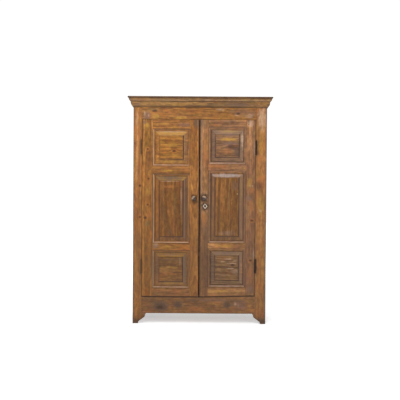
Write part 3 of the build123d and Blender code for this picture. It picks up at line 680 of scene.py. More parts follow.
def cap_bead_highlight(board):
    """Painted highlight along the bead under the cap."""
    bead = board.inside(board.z, CAP_TOP - 33.5 * MM, CAP_TOP - 28.5 * MM, 1.5 * MM, 0.40)
    board.mark("pale", bead, board.broken)


# ================================================================ other finishes
def turned_wood(name):
    """Dark stained wood, glossy, worn pale and with a painted highlight on the upper side of its crown, and
    black with dirt and painted shade behind its rim.
    """
    knob = settings().knob
    shader = Shader(name, {"Coat Weight": 0.40, "Coat Roughness": 0.18, "Specular IOR Level": 0.3})
    grain = shader.noise(shader.times(shader.place, (900.0, 60.0, 900.0)), 1.0, 3.0, 0.6)
    blotches = shader.noise(shader.place, 70.0, 4.0, 0.6)
    base = shader.mix(shader.step(grain, 0.35, 0.7), knob.stain, [0.45 * part for part in knob.stain])
    out = shader.less(FRONT_Y, shader.y)
    # a painted highlight on the crown's upper side, turned to the left on the left knob and to the right on
    # the right knob, over wood worn pale
    lean = shader.step(shader.x, GAP_LEFT, GAP_RIGHT, -0.9, 0.4)
    turned_up = shader.total(shader.up, shader.product(shader.side, lean))
    crown = shader.product(shader.step(out, 22 * MM, 30 * MM), shader.step(turned_up, -0.05, 0.40))
    rubbed_and_highlight = shader.product(crown, shader.step(blotches, 0.35, 0.60, 0.35, 1.0), 0.92)
    base = shader.mix(rubbed_and_highlight, base, knob.rubbed_and_highlight)
    # dirt and painted shade behind the rim, where the head shades the waist
    base = shader.mix(shader.step(out, 19 * MM, 12 * MM, 0.0, 0.85), base, settings().wood.grime_and_shade)
    rough = shader.step(blotches, 0.3, 0.7, 0.26, 0.42)
    height = shader.total(shader.product(grain, 0.5), blotches)
    return shader.finish(base, rough, height, 0.25 * MM)


def black_iron(name, browned=0.0):
    """Forged black iron with dull rust in its pits, browned where wax and wood dust have covered it."""
    iron = settings().iron
    shader = Shader(name, {"Metallic": 0.75 - 0.45 * browned})
    pits = shader.noise(shader.place, 420.0, 4.0, 0.65)
    blooms = shader.noise(shader.place, 55.0, 5.0, 0.6)
    rusty = shader.product(shader.step(blooms, 0.46, 0.66), shader.step(pits, 0.35, 0.6))
    base = shader.mix(shader.product(rusty, 0.8), iron.black, iron.rust)
    if browned:
        covered = shader.product(shader.step(blooms, 0.30, 0.52, 0.35, 1.0), browned)
        base = shader.mix(covered, base, iron.waxed)
    rough = shader.total(shader.step(pits, 0.3, 0.7, 0.42, 0.6), shader.product(rusty, 0.25))
    return shader.finish(base, rough, pits, 0.3 * MM, 0.8)


def bone(name):
    """Old bone: cream, with brown in its pores and at its edges."""
    shader = Shader(name, {"Coat Weight": 0.2})
    pores = shader.noise(shader.times(shader.place, (1500.0, 1500.0, 260.0)), 1.0, 3.0, 0.6)
    clouds = shader.noise(shader.place, 90.0, 3.0, 0.6)
    base = shader.mix(shader.step(clouds, 0.35, 0.7), (0.72, 0.59, 0.45), (0.54, 0.41, 0.28))
    base = shader.mix(shader.step(pores, 0.56, 0.74, 0.0, 0.6), base, (0.18, 0.10, 0.05))
    eye = middle_of("right_door_escutcheon")
    handled = near(shader, eye.x, eye.z, 10 * MM, 13 * MM)
    base = shader.mix(shader.step(handled, 1.15, 0.70, 0.0, 0.9), base, settings().wood.grime_and_shade)
    rough = shader.step(clouds, 0.3, 0.7, 0.35, 0.5)
    return shader.finish(base, rough, pores, 0.15 * MM)


def end_grain(name):
    """Peg ends: end grain that has soaked up wax."""
    shader = Shader(name)
    pores = shader.noise(shader.times(shader.place, (1400.0, 300.0, 1400.0)), 1.0, 3.0, 0.6)
    dark = shader.step(pores, 0.35, 0.7, 0.2, 0.8)
    base = shader.mix(dark, shader.attribute("tint"), settings().wood.grime_and_shade)
    rough = shader.step(pores, 0.3, 0.7, 0.5, 0.65)
    return shader.finish(base, rough, pores, 0.2 * MM)


# ================================================================ pieces
def tone_of(node):
    tone, darkened = BOARD_TONES.get(node) or SLOT_TONES.get(SLOT_OF[node], PLAIN_TONE)
    return [part * darkened for part in TONES[tone]]


def set_board(mesh, node):
    """Give a piece the place of its log's heart, and its tint, for the finish to read."""
    low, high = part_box(node)
    draw = random.Random(node)
    size = high - low
    thin = min(range(3), key=lambda axis: size[axis])
    heart = (low + high) / 2
    for axis in range(3):
        reach = HEART_WANDER_THROUGH if axis == thin else HEART_WANDER
        heart[axis] += draw.uniform(-reach, reach)
    heart[thin] += math.copysign(HEART_OFF, heart[thin])
    spread = ROUGH_TINT_SPREAD if SLOT_OF[node] in ("back_pine", "inner_pine") else TINT_SPREAD
    shade = 1.0 + draw.uniform(-spread, spread)
    tint = [part * shade * draw.uniform(0.98, 1.02) for part in tone_of(node)]
    for name, value in (("heart", heart), ("tint", tint)):
        attribute = mesh.attributes.new(name, "FLOAT_VECTOR", "POINT")
        attribute.data.foreach_set("vector", [*value] * len(mesh.vertices))


def crease(bm, sharpest=32.0, mitres=False):
    """Shade a piece smooth over its rounds and crisp at its corners, and at the mitres of its slopes."""
    for face in bm.faces:
        face.smooth = True
    for edge in bm.edges:
        turn = math.degrees(edge.calc_face_angle(0.0))
        at_mitre = mitres and MITRE_TURN[0] < turn < MITRE_TURN[1]
        edge.smooth = turn < sharpest and not at_mitre


def fit(piece_name, bm, material, body):
    """Make an object of a bmesh, and let it ride a body."""
    mesh = bpy.data.meshes.new(piece_name)
    bm.to_mesh(mesh)
    bm.free()
    if "custom_normal" in mesh.attributes:
        mesh.attributes.remove(mesh.attributes["custom_normal"])
    mesh.materials.clear()
    mesh.materials.append(material)
    piece = bpy.data.objects.new(piece_name, mesh)
    bpy.context.scene.collection.objects.link(piece)
    flats = piece.modifiers.new("flat_faces", "WEIGHTED_NORMAL")
    flats.keep_sharp = True
    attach(piece, body)
    return piece


def install(piece_name, bm, material, node):
    """Make an object of a bmesh that stands for a CAD node."""
    piece = fit(piece_name, bm, material, BODY_OF[node])
    set_board(piece.data, node)
    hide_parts(node)


def long_corners(bm, shortest, sharpest=40.0):
    """The convex edges that are long and sharp enough to show wear."""
    found = []
    for edge in bm.edges:
        if not edge.is_manifold or edge.calc_length() < shortest:
            continue
        if edge.is_convex and edge.calc_face_angle() > math.radians(sharpest):
            found.append(edge)
    return found


def ease(bm, edges, width, segments=2):
    bmesh.ops.bevel(
        bm,
        geom=edges,
        offset=width,
        offset_type="OFFSET",
        affect="EDGES",
        segments=segments,
        profile=0.5,
        material=-1,
        clamp_overlap=True,
    )


def merged_copy(node):
    """A mesh copy of a CAD node, in a bmesh, with its facets merged into whole faces."""
    bm = bmesh.new()
    bm.from_mesh(NODES[node].data)
    bmesh.ops.remove_doubles(bm, verts=bm.verts[:], dist=0.004 * MM)
    bmesh.ops.dissolve_limit(
        bm, angle_limit=math.radians(0.5), use_dissolve_boundaries=False, verts=bm.verts[:], edges=bm.edges[:]
    )
    return bm


def worn_board(node, material, mitres=False, nails=()):
    """A board with its arrises worn, in place of its CAD node."""
    bm = merged_copy(node)
    ease(bm, long_corners(bm, SHORTEST_WORN), settings().wood.arris)
    if nails:
        sink_nails(bm, nails)
    crease(bm, mitres=mitres)
    install(f"{node}_worn", bm, material, node)


def filed_iron(node, material):
    """Ironwork with filed edges, in place of its CAD node."""
    bm = merged_copy(node)
    ease(bm, long_corners(bm, SHORTEST_FILED, sharpest=60.0), settings().iron.edge, segments=1)
    crease(bm)
    install(f"{node}_filed", bm, material, node)


# ---- fasteners
def sink_nails(bm, nails):
    """Dent the back of a board where nails are driven home, at (x, z)."""
    half = settings().iron.nail_radius + DENT_MARGIN
    for axis, lines in ((0, {x for x, _ in nails}), (2, {z for _, z in nails})):
        across = Vector((0.0, 0.0, 0.0))
        across[axis] = 1.0
        for line in sorted(lines):
            for edge in (line - half, line + half):
                whole = bm.verts[:] + bm.edges[:] + bm.faces[:]
                bmesh.ops.bisect_plane(bm, geom=whole, plane_co=edge * across, plane_no=across)
    for face in bm.faces[:]:
        centre = face.calc_center_median()
        under_nail = any(math.hypot(centre.x - x, centre.z - z) < half / 2 for x, z in nails)
        if under_nail and face.normal.y > 0.9:
            bmesh.ops.inset_individual(bm, faces=[face], thickness=DENT_LEAN, depth=-NAIL_DENT)


def stud(radius, top_radius, proud, segments):
    """A round head on a level face, in a bmesh."""
    bm = bmesh.new()
    bmesh.ops.create_cone(
        bm,
        cap_ends=True,
        cap_tris=False,
        segments=segments,
        radius1=radius,
        radius2=top_radius,
        depth=proud,
        matrix=Matrix.Translation((0.0, 0.0, proud / 2)),
    )
    return bm


def nail_head():
    """The hammered head of a cut nail."""
    radius = settings().iron.nail_radius
    return pattern_of(stud(radius, 0.5 * radius, NAIL_DENT, 8))


def slotted_head(radius, proud):
    """The head of a screw: two halves, with the slot between them."""
    bm = stud(radius, radius - min(proud, 0.2 * radius), proud, 24)
    half_slot = 0.14 * radius
    for side in (-half_slot, half_slot):
        whole = bm.verts[:] + bm.edges[:] + bm.faces[:]
        bmesh.ops.bisect_plane(bm, geom=whole, plane_co=(side, 0.0, 0.0), plane_no=(1.0, 0.0, 0.0))
    between = [face for face in bm.faces if abs(face.calc_center_median().x) < 0.9 * half_slot]
    bmesh.ops.delete(bm, geom=between, context="FACES")
    bmesh.ops.holes_fill(bm, edges=[edge for edge in bm.edges if edge.is_boundary])
    bmesh.ops.recalc_face_normals(bm, faces=bm.faces[:])
    return pattern_of(bm)


def pattern_of(bm):
    """A mesh to copy, made of a bmesh."""
    pattern = bpy.data.meshes.new("pattern")
    bm.to_mesh(pattern)
    bm.free()
    return pattern


def set_out(pattern, places):
    """A bmesh with a copy of a pattern at each (place, way it points)."""
    draw = random.Random(len(places))
    bm = bmesh.new()
    for place, way in places:
        first = len(bm.verts)
        bm.from_mesh(pattern)
        stand = Vector(way).to_track_quat("Z", "Y").to_matrix().to_4x4()
        turn = Matrix.Rotation(draw.uniform(0.0, math.pi), 4, "Z")
        bmesh.ops.transform(bm, matrix=Matrix.Translation(place) @ stand @ turn, verts=bm.verts[first:])
    bpy.data.meshes.remove(pattern)
    crease(bm)
    return bm


class PieceOperator(bpy.types.Operator):
    """Base of the operators that make pieces."""

    bl_options = {"REGISTER", "UNDO"}

    def execute(self, context):
        self.make(context.scene.trastero)
        return {"FINISHED"}


class TRASTERO_OT_face_frame(PieceOperator):
    """Stiles, top rail and apron of the face frame."""

    bl_idname = "trastero.face_frame"
    bl_label = "Face Frame"

    STILE_PATCHES = {
        "ochre": [(488, 1450, 24, 130, 0.42), (488, 960, 30, 100, 0.48), (506, 420, 10, 220, 0.38)],
        "rust": [
            (-488, 1531, 10, 80, 0.60), (-484, 1150, 16, 70, 0.65), (-478, 862, 13, 30, 0.55),
            (482, 1326, 22, 32, 0.75), (488, 1160, 36, 34, 0.90), (486, 1108, 36, 40, 0.60),
            (484, 430, 8, 200, 0.38),
        ],
        "olive": [(-516, 1290, 8, 120, 0.55), (-500, 560, 24, 220, 0.34)],
        "bloom": [(470, 1700, 12, 20, 0.60)],
        "pale": [(-506, 1640, 12, 60, 0.35), (494, 1650, 38, 110, 0.70), (484, 911, 12, 14, 0.60)],
        "smoke": [(-512, 15, 50, 26, 0.75), (500, 20, 50, 32, 0.85)],
        "dark": [
            (-484, 1310, 18, 240, 0.32), (-494, 660, 30, 160, 0.26), (-500, 1020, 34, 240, 0.15),
            (488, 1000, 34, 240, 0.12), (478, 1106, 34, 50, 0.80), (508, 720, 20, 170, 0.20),
        ],
    }
    STILE_LINES = (
        upright_line("pale", -0.507, -0.501, 0.35, foot=1.15, head=1.70),
        upright_line("smoke", -0.470, -0.462, 0.45),
        upright_line("smoke", 0.445, 0.452, 0.45),
    )
    LEVEL_PATCHES = {
        "ochre": [(-358, 1662, 36, 24, 0.80), (-160, 1650, 52, 13, 0.75), (184, 1710, 13, 11, 0.70)],
        "rust": [
            (-372, 1680, 20, 12, 0.60), (-248, 1690, 15, 13, 0.85), (-30, 120, 80, 20, 0.45),
            (130, 176, 60, 15, 0.40),
        ],
        "olive": [(-376, 1716, 52, 14, 0.70), (248, 1704, 32, 13, 0.55)],
        "bloom": [
            (-424, 1664, 38, 46, 0.75), (410, 1672, 30, 30, 0.60), (360, 1690, 120, 44, 0.45),
            (120, 190, 160, 16, 0.50), (330, 150, 70, 50, 0.55),
        ],
        "pale": [
            (-444, 1682, 8, 22, 0.60), (-412, 1668, 7, 12, 0.60), (160, 1716, 46, 12, 0.40),
            (292, 1672, 20, 6, 0.45), (392, 1668, 36, 22, 0.45), (290, 160, 12, 20, 0.35),
            (316, 146, 10, 12, 0.30),
        ],
        "smoke": [
            (300, 1684, 26, 14, 0.65), (-312, 139, 84, 50, 1.00), (-172, 150, 44, 32, 1.00),
            (-54, 186, 28, 14, 0.75), (230, 152, 56, 36, 0.90), (290, 186, 70, 10, 0.60),
        ],
        "dark": [(-314, 136, 64, 38, 0.62), (-172, 150, 36, 24, 0.65), (224, 152, 34, 26, 0.60)],
    }

    def make(self, chosen):
        upright = pine(
            "frame_pine_upright",
            "Z",
            knots=[(-0.480, 1.105, 10 * MM, 1.0), (-0.478, 0.854, 9 * MM, 1.0)],
            stains_and_shading=[outer_arris_shade, patches(self.STILE_PATCHES), *self.STILE_LINES],
        )
        level = pine(
            "frame_pine_level",
            "X",
            knots=[(-0.364, 1.703, 10 * MM, 1.7), (0.304, 1.686, 8 * MM, 1.8), (-0.312, 0.131, 15 * MM, 1.6)],
            stains_and_shading=[outer_arris_shade, foot_seam, apron_arris, patches(self.LEVEL_PATCHES)],
        )
        for node in ("left_frame_stile", "right_frame_stile"):
            worn_board(node, upright)
        for node in ("frame_top_rail", "apron"):
            worn_board(node, level)


class TRASTERO_OT_case(PieceOperator):
    """Sides and bottom board of the case."""

    bl_idname = "trastero.case"
    bl_label = "Case"

    KNOTS = {
        "left": ((0.120, 1.420, 12 * MM, 0.9), (-0.060, 0.980, 9 * MM, 1.0), (0.150, 0.520, 13 * MM, 0.8)),
        "right": ((-0.040, 1.560, 10 * MM, 0.9), (0.130, 1.120, 14 * MM, 0.8), (0.020, 0.610, 9 * MM, 1.0)),
    }

    def make(self, chosen):
        for hand in HANDS:
            knots = self.KNOTS[hand]
            worn_board(f"{hand}_side", pine(f"case_pine_{hand}", "Z", knots, [rebate_dirt_and_shade], on_side=True))
        worn_board("bottom_board", pine("case_pine_level", "X", dull=0.5))


class TRASTERO_OT_inside(PieceOperator):
    """Shelves, their cleats and the door stop batten."""

    bl_idname = "trastero.inside"
    bl_label = "Inside"

    def make(self, chosen):
        level = pine("inner_pine_level", "X", dull=0.8, floor_shade=0.1)
        fore_and_aft = pine("inner_pine_fore_and_aft", "Y", dull=0.8, floor_shade=0.1)
        for node in (*SHELVES, "door_stop_batten"):
            worn_board(node, level)
        worn_board("shelf_cleats", fore_and_aft)


class TRASTERO_OT_back(PieceOperator):
    """Upright boards of the back, nailed to the bottom board, the shelves and the sides."""

    bl_idname = "trastero.back"
    bl_label = "Back Boards"

    FROM_EDGE = 30 * MM
    FROM_OUTER_EDGE = 9 * MM
    SIDE_PITCH = 210 * MM

    def make(self, chosen):
        rough = pine("back_pine_upright", "Z", stains_and_shading=[board_seams], dull=1.0, floor_shade=0.15)
        shelf_heights = [middle_of(node).z for node in ("bottom_board", *SHELVES)]
        places = []
        for number in range(1, BACK_BOARDS + 1):
            node = f"back_board_{number}"
            low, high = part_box(node)
            nails = [(x, z) for z in shelf_heights for x in (low.x + self.FROM_EDGE, high.x - self.FROM_EDGE)]
            if number in (1, BACK_BOARDS):
                nails += self.side_nails(low, high)
            worn_board(node, rough, nails=nails)
            places += [((x, BACK_Y - NAIL_DENT, z), (0.0, 1.0, 0.0)) for x, z in nails]
        iron = black_iron("black_iron_nails", 0.3)
        fit("back_board_nails", set_out(nail_head(), places), iron, "case")

    def side_nails(self, low, high):
        """Places of the nails up the outer edge of an outer board."""
        x = low.x + self.FROM_OUTER_EDGE if low.x < 0.0 else high.x - self.FROM_OUTER_EDGE
        count = int((high.z - low.z) / self.SIDE_PITCH)
        return [(x, low.z + self.SIDE_PITCH * (number + 0.6)) for number in range(count)]


class TRASTERO_OT_cornice(PieceOperator):
    """Cornice mouldings and cap boards."""

    bl_idname = "trastero.cornice"
    bl_label = "Cornice"

    PATCHES = {
        "ochre": [(-180, 1752, 90, 12, 0.45)],
        "rust": [(-440, 1786, 80, 10, 0.40)],
        "olive": [(-280, 1782, 120, 12, 0.50), (120, 1754, 100, 10, 0.45)],
        "bloom": [(-500, 1752, 30, 16, 0.60), (300, 1750, 120, 14, 0.45)],
        "pale": [(60, 1790, 60, 6, 0.40)],
        "smoke": [(300, 1768, 140, 30, 0.38)],
    }

    def make(self, chosen):
        level = pine("cornice_pine_level", "X", stains_and_shading=[cornice_shade_and_dirt, cap_bead_highlight, patches(self.PATCHES)])
        fore_and_aft = pine("cornice_pine_fore_and_aft", "Y", stains_and_shading=[cornice_shade_and_dirt])
        for tier in ("lower", "upper"):
            worn_board(f"cornice_{tier}_front", level)
            for hand in HANDS:
                worn_board(f"cornice_{tier}_{hand}", fore_and_aft)
        for node in ("cap_board_front", "cap_board_back"):
            worn_board(node, level)


class TRASTERO_OT_door_frames(PieceOperator):
    """Stiles and rails of both doors, with the moulding stuck on their inner edges."""

    bl_idname = "trastero.door_frames"
    bl_label = "Door Stiles and Rails"

    # painted light and shade on the stuck moulding, by depth and by the way each face turns: a painted shade
    # line in its step, painted highlights and reflections where it turns up and to the sides, and painted
    # shade where it turns down and in the hollow by the panel, where dirt also settles
    MOULDING_LIGHT_AND_SHADE = (
        layer("dark", 1.8, 2.9, 0.80),
        layer("ash", 3.0, 7.5, 0.22, "left"),
        layer("pale", 3.1, 7.0, 1.00, "right", on_right=0.30),
        layer("pale", 4.2, 9.8, 1.00, "up", on_right=0.10),
        layer("painted_highlight", 4.2, 9.8, 0.72, "up", on_left=0.0),
        layer("smoke", 3.0, 9.0, 0.50, "down", on_right=0.65),
        layer("grime_and_shade", 9.3, 14.0, 0.80, "left", on_left=0.62),
        layer("grime_and_shade", 9.3, 14.0, 0.80, "right", on_left=0.62),
        layer("grime_and_shade", 10.2, 14.0, 0.70, "up", on_left=0.62),
        layer("grime_and_shade", 9.3, 14.0, 0.40, "down"),
    )
    STILE_PATCHES = {
        "ochre": [
            (-424, 1590, 20, 24, 0.65), (-416, 1060, 22, 50, 0.40), (396, 1130, 22, 50, 0.55),
            (396, 1580, 12, 18, 0.60),
        ],
        "rust": [
            (-418, 1398, 16, 26, 0.60), (-404, 868, 26, 34, 0.60), (-60, 1240, 10, 45, 0.45),
            (-76, 600, 14, 100, 0.35), (42, 1380, 17, 140, 0.65), (36, 850, 18, 80, 0.75),
            (48, 430, 40, 220, 0.35), (412, 1075, 24, 30, 0.55), (410, 960, 28, 40, 0.45),
            (420, 834, 26, 20, 0.70), (406, 400, 22, 80, 0.45), (416, 930, 20, 50, 0.50),
            (402, 520, 22, 36, 0.65),
        ],
        "olive": [
            (-420, 800, 22, 32, 0.60), (382, 920, 8, 100, 0.50), (20, 440, 12, 150, 0.45),
            (428, 1500, 14, 60, 0.45),
        ],
        "bloom": [
            (-444, 1612, 16, 22, 0.65), (52, 420, 12, 150, 0.20), (392, 1012, 36, 24, 0.70),
            (408, 275, 28, 30, 0.60),
        ],
        "pale": [(404, 1604, 26, 36, 0.70), (412, 1110, 22, 7, 0.50)],
        "ash": [(434, 560, 10, 60, 0.55), (434, 1400, 10, 70, 0.45)],
        "smoke": [
            (-384, 1640, 12, 40, 0.30), (52, 740, 30, 120, 0.42), (-373, 920, 14, 320, 0.42),
            (-376, 437, 22, 180, 0.55), (384, 1640, 14, 34, 0.35), (406, 536, 34, 34, 0.55),
        ],
        "dark": [(45, 460, 48, 300, 0.78), (-58, 480, 44, 240, 0.34)],
    }
    STILE_LINES = (upright_line("smoke", 0.063, 0.072, 0.60, foot=0.28, head=1.24),)
    STILE_KNOTS = (
        (-0.418, 1.398, 9 * MM, 0.9),
        (-0.412, 1.163, 8 * MM, 1.0),
        (-0.416, 0.954, 9 * MM, 1.0),
        (-0.438, 0.848, 11 * MM, 1.1),
        (0.418, 0.832, 10 * MM, 1.4),
        (0.410, 0.512, 10 * MM, 1.2),
    )
    RAIL_PATCHES = {
        "ochre": [
            (-290, 1602, 60, 12, 0.45), (-252, 1227, 58, 10, 0.75), (-260, 620, 50, 10, 0.50),
            (200, 628, 80, 14, 0.50), (160, 266, 80, 12, 0.50),
        ],
        "rust": [(-110, 1236, 24, 18, 0.55), (-170, 262, 70, 12, 0.35), (160, 1262, 90, 14, 0.60)],
        "bloom": [(-128, 1594, 60, 20, 0.50)],
        "ash": [(-352, 630, 24, 26, 0.50)],
        "smoke": [(230, 1624, 70, 12, 0.35), (220, 1232, 80, 8, 0.40)],
    }

    def make(self, chosen):
        # the painted light and shade of the moulding, and the dark band along the foot
        wear = (*self.MOULDING_LIGHT_AND_SHADE, foot_seam)
        stiles = pine(
            "door_pine_upright",
            "Z",
            knots=self.STILE_KNOTS,
            stains_and_shading=[*wear, knob_grime, gap_wear_and_shade, *self.STILE_LINES, patches(self.STILE_PATCHES)],
            bold=1.2,
            floor_shade=0.42,
        )
        rails = pine("door_pine_level", "X", stains_and_shading=[*wear, patches(self.RAIL_PATCHES)], bold=1.15)
        for hand in HANDS:
            for member in DOOR_MEMBERS:
                material = stiles if member.endswith("stile") else rails
                worn_board(f"{hand}_door_{member}", material)


class TRASTERO_OT_door_panels(PieceOperator):
    """Raised panels of both doors."""

    bl_idname = "trastero.door_panels"
    bl_label = "Door Panels"

    # painted shade along the edge of each field and in the groove round it, heaviest where the slopes turn
    # right and down, away from the light, with dirt there too; a faint painted highlight lies at the outer
    # edge of the left door's bottom slopes
    BORDER = (
        layer("dark", 1.9, 5.0, 0.60),
        layer("dark", 1.9, 6.2, 1.00, "right"),
        layer("dark", 1.9, 5.8, 1.00, "down"),
        layer("dark", 1.9, 6.2, 0.90, "left", on_left=0.55),
        layer("grime_and_shade", 10.4, 14.0, 0.80, "right", on_left=0.50),
        layer("grime_and_shade", 9.7, 14.0, 0.90, "left", on_left=0.50),
        layer("grime_and_shade", 10.4, 14.0, 0.80, "up", on_left=0.75, on_right=0.45),
        layer("grime_and_shade", 10.2, 14.0, 0.85, "down", on_left=0.0),
        layer("pale", 11.4, 14.0, 0.30, "down", on_right=0.0),
    )
    # painted light and shade on the slopes of the left door's panels: lit yellow where they turn up, greyed
    # painted reflections where they turn right, redder where they turn left and darker where they turn down
    LEFT_SLOPES = (
        layer("ash", 6.0, 7.2, 0.40, "right"),
        layer("bloom", 7.2, 10.6, 0.42, "right"),
        layer("ochre", 5.2, 10.4, 0.55, "up"),
        layer("rust", 5.0, 10.0, 0.25, "left"),
        layer("smoke", 5.6, 10.6, 0.22, "down"),
    )
    # painted light and shade on the slopes of the right door's panels: paler where they turn up, greyed
    # painted reflections where they turn right and left, and darker where they turn down and in streaks at the
    # sides
    RIGHT_SLOPES = (
        layer("ash", 5.6, 10.6, 0.30, "right"),
        layer("pale", 4.9, 9.6, 0.28, "up"),
        layer("bloom", 5.0, 10.0, 0.35, "left"),
        layer("smoke", 8.6, 11.0, 0.40, "left"),
        layer("smoke", 5.8, 7.8, 0.38, "right"),
        layer("smoke", 5.6, 10.6, 0.35, "down"),
    )
    LEFT_PATCHES = {
        "ochre": [
            (-226, 1524, 120, 20, 0.60), (-230, 1430, 80, 14, 0.45), (-200, 1350, 70, 12, 0.40),
            (-222, 452, 60, 10, 0.40), (-229, 1300, 130, 10, 0.60), (-229, 322, 130, 10, 0.40),
        ],
        "rust": [
            (-250, 900, 12, 16, 0.70), (-245, 1100, 60, 12, 0.55), (-229, 556, 130, 15, 0.60),
            (-215, 800, 14, 150, 0.35), (-229, 400, 90, 12, 0.45),
        ],
        "olive": [(-116, 437, 20, 130, 0.60), (-200, 960, 14, 130, 0.45), (-280, 820, 10, 120, 0.35)],
        "bloom": [(-229, 1167, 130, 16, 0.50)],
        "pale": [(-245, 1143, 85, 6, 0.55), (-230, 550, 85, 6, 0.45), (-229, 1541, 140, 9, 0.55)],
        "ash": [(-150, 1010, 6, 170, 0.55), (-156, 500, 7, 60, 0.35)],
        "smoke": [
            (-236, 735, 18, 30, 0.55), (-341, 437, 20, 140, 0.60), (-300, 980, 10, 200, 0.40),
            (-229, 512, 80, 7, 0.50), (-116, 437, 22, 150, 0.45), (-116, 925, 22, 280, 0.42),
            (-229, 1168, 160, 22, 0.72), (-229, 560, 160, 20, 0.72),
        ],
    }
    RIGHT_PATCHES = {
        "ochre": [(236, 1543, 80, 12, 0.85), (226, 1481, 85, 15, 0.85), (332, 1060, 14, 110, 0.50)],
        "rust": [
            (210, 1384, 60, 30, 0.50), (326, 860, 16, 160, 0.45), (332, 450, 14, 110, 0.60),
            (180, 1000, 16, 140, 0.30),
        ],
        "bloom": [
            (232, 1518, 90, 11, 0.85), (250, 1449, 70, 13, 0.85), (108, 1206, 20, 14, 0.60),
            (218, 568, 130, 16, 0.65), (280, 1110, 30, 50, 0.40),
        ],
        "pale": [
            (338, 1480, 14, 70, 0.95), (190, 500, 22, 5, 0.52), (286, 506, 24, 6, 0.55),
            (300, 1044, 6, 6, 0.80), (230, 522, 36, 6, 0.62), (262, 486, 42, 6, 0.62),
            (250, 446, 36, 6, 0.55),
        ],
        "ash": [(218, 730, 80, 26, 0.30), (290, 420, 40, 20, 0.40)],
        # a painted highlight along the top slope of the middle panel
        "painted_highlight": [(216, 1192, 140, 17, 0.95)],
        "smoke": [
            (297, 1384, 30, 46, 0.80), (106, 450, 20, 130, 0.50), (150, 880, 8, 220, 0.45),
            (236, 1000, 10, 200, 0.35), (200, 396, 60, 8, 0.50), (222, 500, 30, 8, 0.60),
            (268, 470, 36, 7, 0.60), (218, 1540, 160, 12, 0.40), (218, 566, 160, 18, 0.45),
            (332, 940, 22, 280, 0.40), (320, 450, 14, 140, 0.55), (218, 1306, 150, 10, 0.50),
        ],
    }

    def make(self, chosen):
        for hand, slopes, spots, knots in (
            ("left", self.LEFT_SLOPES, self.LEFT_PATCHES, [(-0.208, 1.385, 10 * MM, 1.3)]),
            ("right", self.RIGHT_SLOPES, self.RIGHT_PATCHES, [(0.268, 0.474, 9 * MM, 1.6)]),
        ):
            stains_and_shading = [*slopes, *self.BORDER, patches(spots)]
            tall = pine(f"panel_pine_{hand}_upright", "Z", stains_and_shading=stains_and_shading, bold=1.35)
            broad = pine(f"panel_pine_{hand}_level", "X", knots=knots, stains_and_shading=stains_and_shading, bold=1.5)
            for panel in DOOR_PANELS:
                worn_board(f"{hand}_door_{panel}", tall if panel == "middle_panel" else broad, mitres=True)


class TRASTERO_OT_pegs(PieceOperator):
    """Riven pegs of the face frame and the doors."""

    bl_idname = "trastero.pegs"
    bl_label = "Pegs"

    def make(self, chosen):
        material = end_grain("peg_wood")
        for node in ("frame_pegs", "left_door_pegs", "right_door_pegs"):
            bm = merged_copy(node)
            front = [edge for edge in long_corners(bm, 0.0) if max(v.co.y for v in edge.verts) < FRONT_Y]
            ease(bm, front, 0.35 * MM, segments=1)
            crease(bm)
            install(f"{node}_cut", bm, material, node)


class TRASTERO_OT_knobs(PieceOperator):
    """Turned mushroom knobs."""

    bl_idname = "trastero.knobs"
    bl_label = "Knobs"

    # shares of the knob's reach: its rim, the underside of its head, and the top of its waist
    RIM = 0.62
    UNDERSIDE = 0.46
    WAIST_TOP = 0.445
    # shares of the head's radius: how far its underside curls in, and the top of the waist
    CURL = 0.38
    WAIST_WIDTH = 0.60
    # how far out the waist ends at the foot, and how sharply it flares at both ends
    WAIST_FOOT = 3 * MM
    FLARE = 2.2
    # the bead of the foot: how far it swells, and its distance out
    FOOT_BEAD = ((0.0, 2.6 * MM), (0.6 * MM, 1.4 * MM), (0.0, 0.0))

    def make(self, chosen):
        material = turned_wood("knob_wood")
        for hand in HANDS:
            node = f"{hand}_door_knob"
            low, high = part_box(node)
            axis = middle_of(node)
            profile = self.profile(chosen.knob, (high.x - low.x) / 2, FRONT_Y - low.y)
            bm = bmesh.new()
            points = [bm.verts.new((axis.x + radius, FRONT_Y - out, axis.z)) for radius, out in profile]
            for first, second in zip(points, points[1:]):
                bm.edges.new((first, second))
            bmesh.ops.spin(
                bm,
                geom=bm.verts[:] + bm.edges[:],
                cent=(axis.x, FRONT_Y, axis.z),
                axis=(0.0, 1.0, 0.0),
                angle=math.tau,
                steps=chosen.knob.steps,
                use_merge=True,
            )
            bmesh.ops.remove_doubles(bm, verts=bm.verts[:], dist=0.01 * MM)
            bmesh.ops.recalc_face_normals(bm, faces=bm.faces[:])
            crease(bm, sharpest=50.0)
            install(f"{node}_turned", bm, material, node)

    def profile(self, knob, head, reach):
        """(radius, distance out) from the centre of the crown to the centre of the foot's back."""
        rim = reach * self.RIM
        crown = [
            (head * math.sin(turn), rim + (reach - rim) * math.cos(turn)) for turn in self.turns(0, 90, 10)
        ]
        drop = rim - reach * self.UNDERSIDE
        under = [
            (head - head * self.CURL * (1 - math.cos(turn)), rim - drop * math.sin(turn))
            for turn in self.turns(15, 90, 5)
        ]
        neck_out = (reach * self.UNDERSIDE + self.WAIST_FOOT) / 2
        half_waist = reach * self.WAIST_TOP - neck_out
        waist = []
        for turn in self.turns(0, 180, 8):
            end = head * self.WAIST_WIDTH if turn < math.pi / 2 else knob.foot_radius
            flare = abs(math.cos(turn)) ** self.FLARE
            radius = knob.neck_radius + (end - knob.neck_radius) * flare
            waist.append((radius, neck_out + half_waist * math.cos(turn)))
        foot = [(knob.foot_radius + swell, out) for swell, out in self.FOOT_BEAD]
        return crown + under + waist + foot + [(0.0, 0.0)]

    def turns(self, start, stop, count):
        return [math.radians(start + (stop - start) * number / count) for number in range(count + 1)]


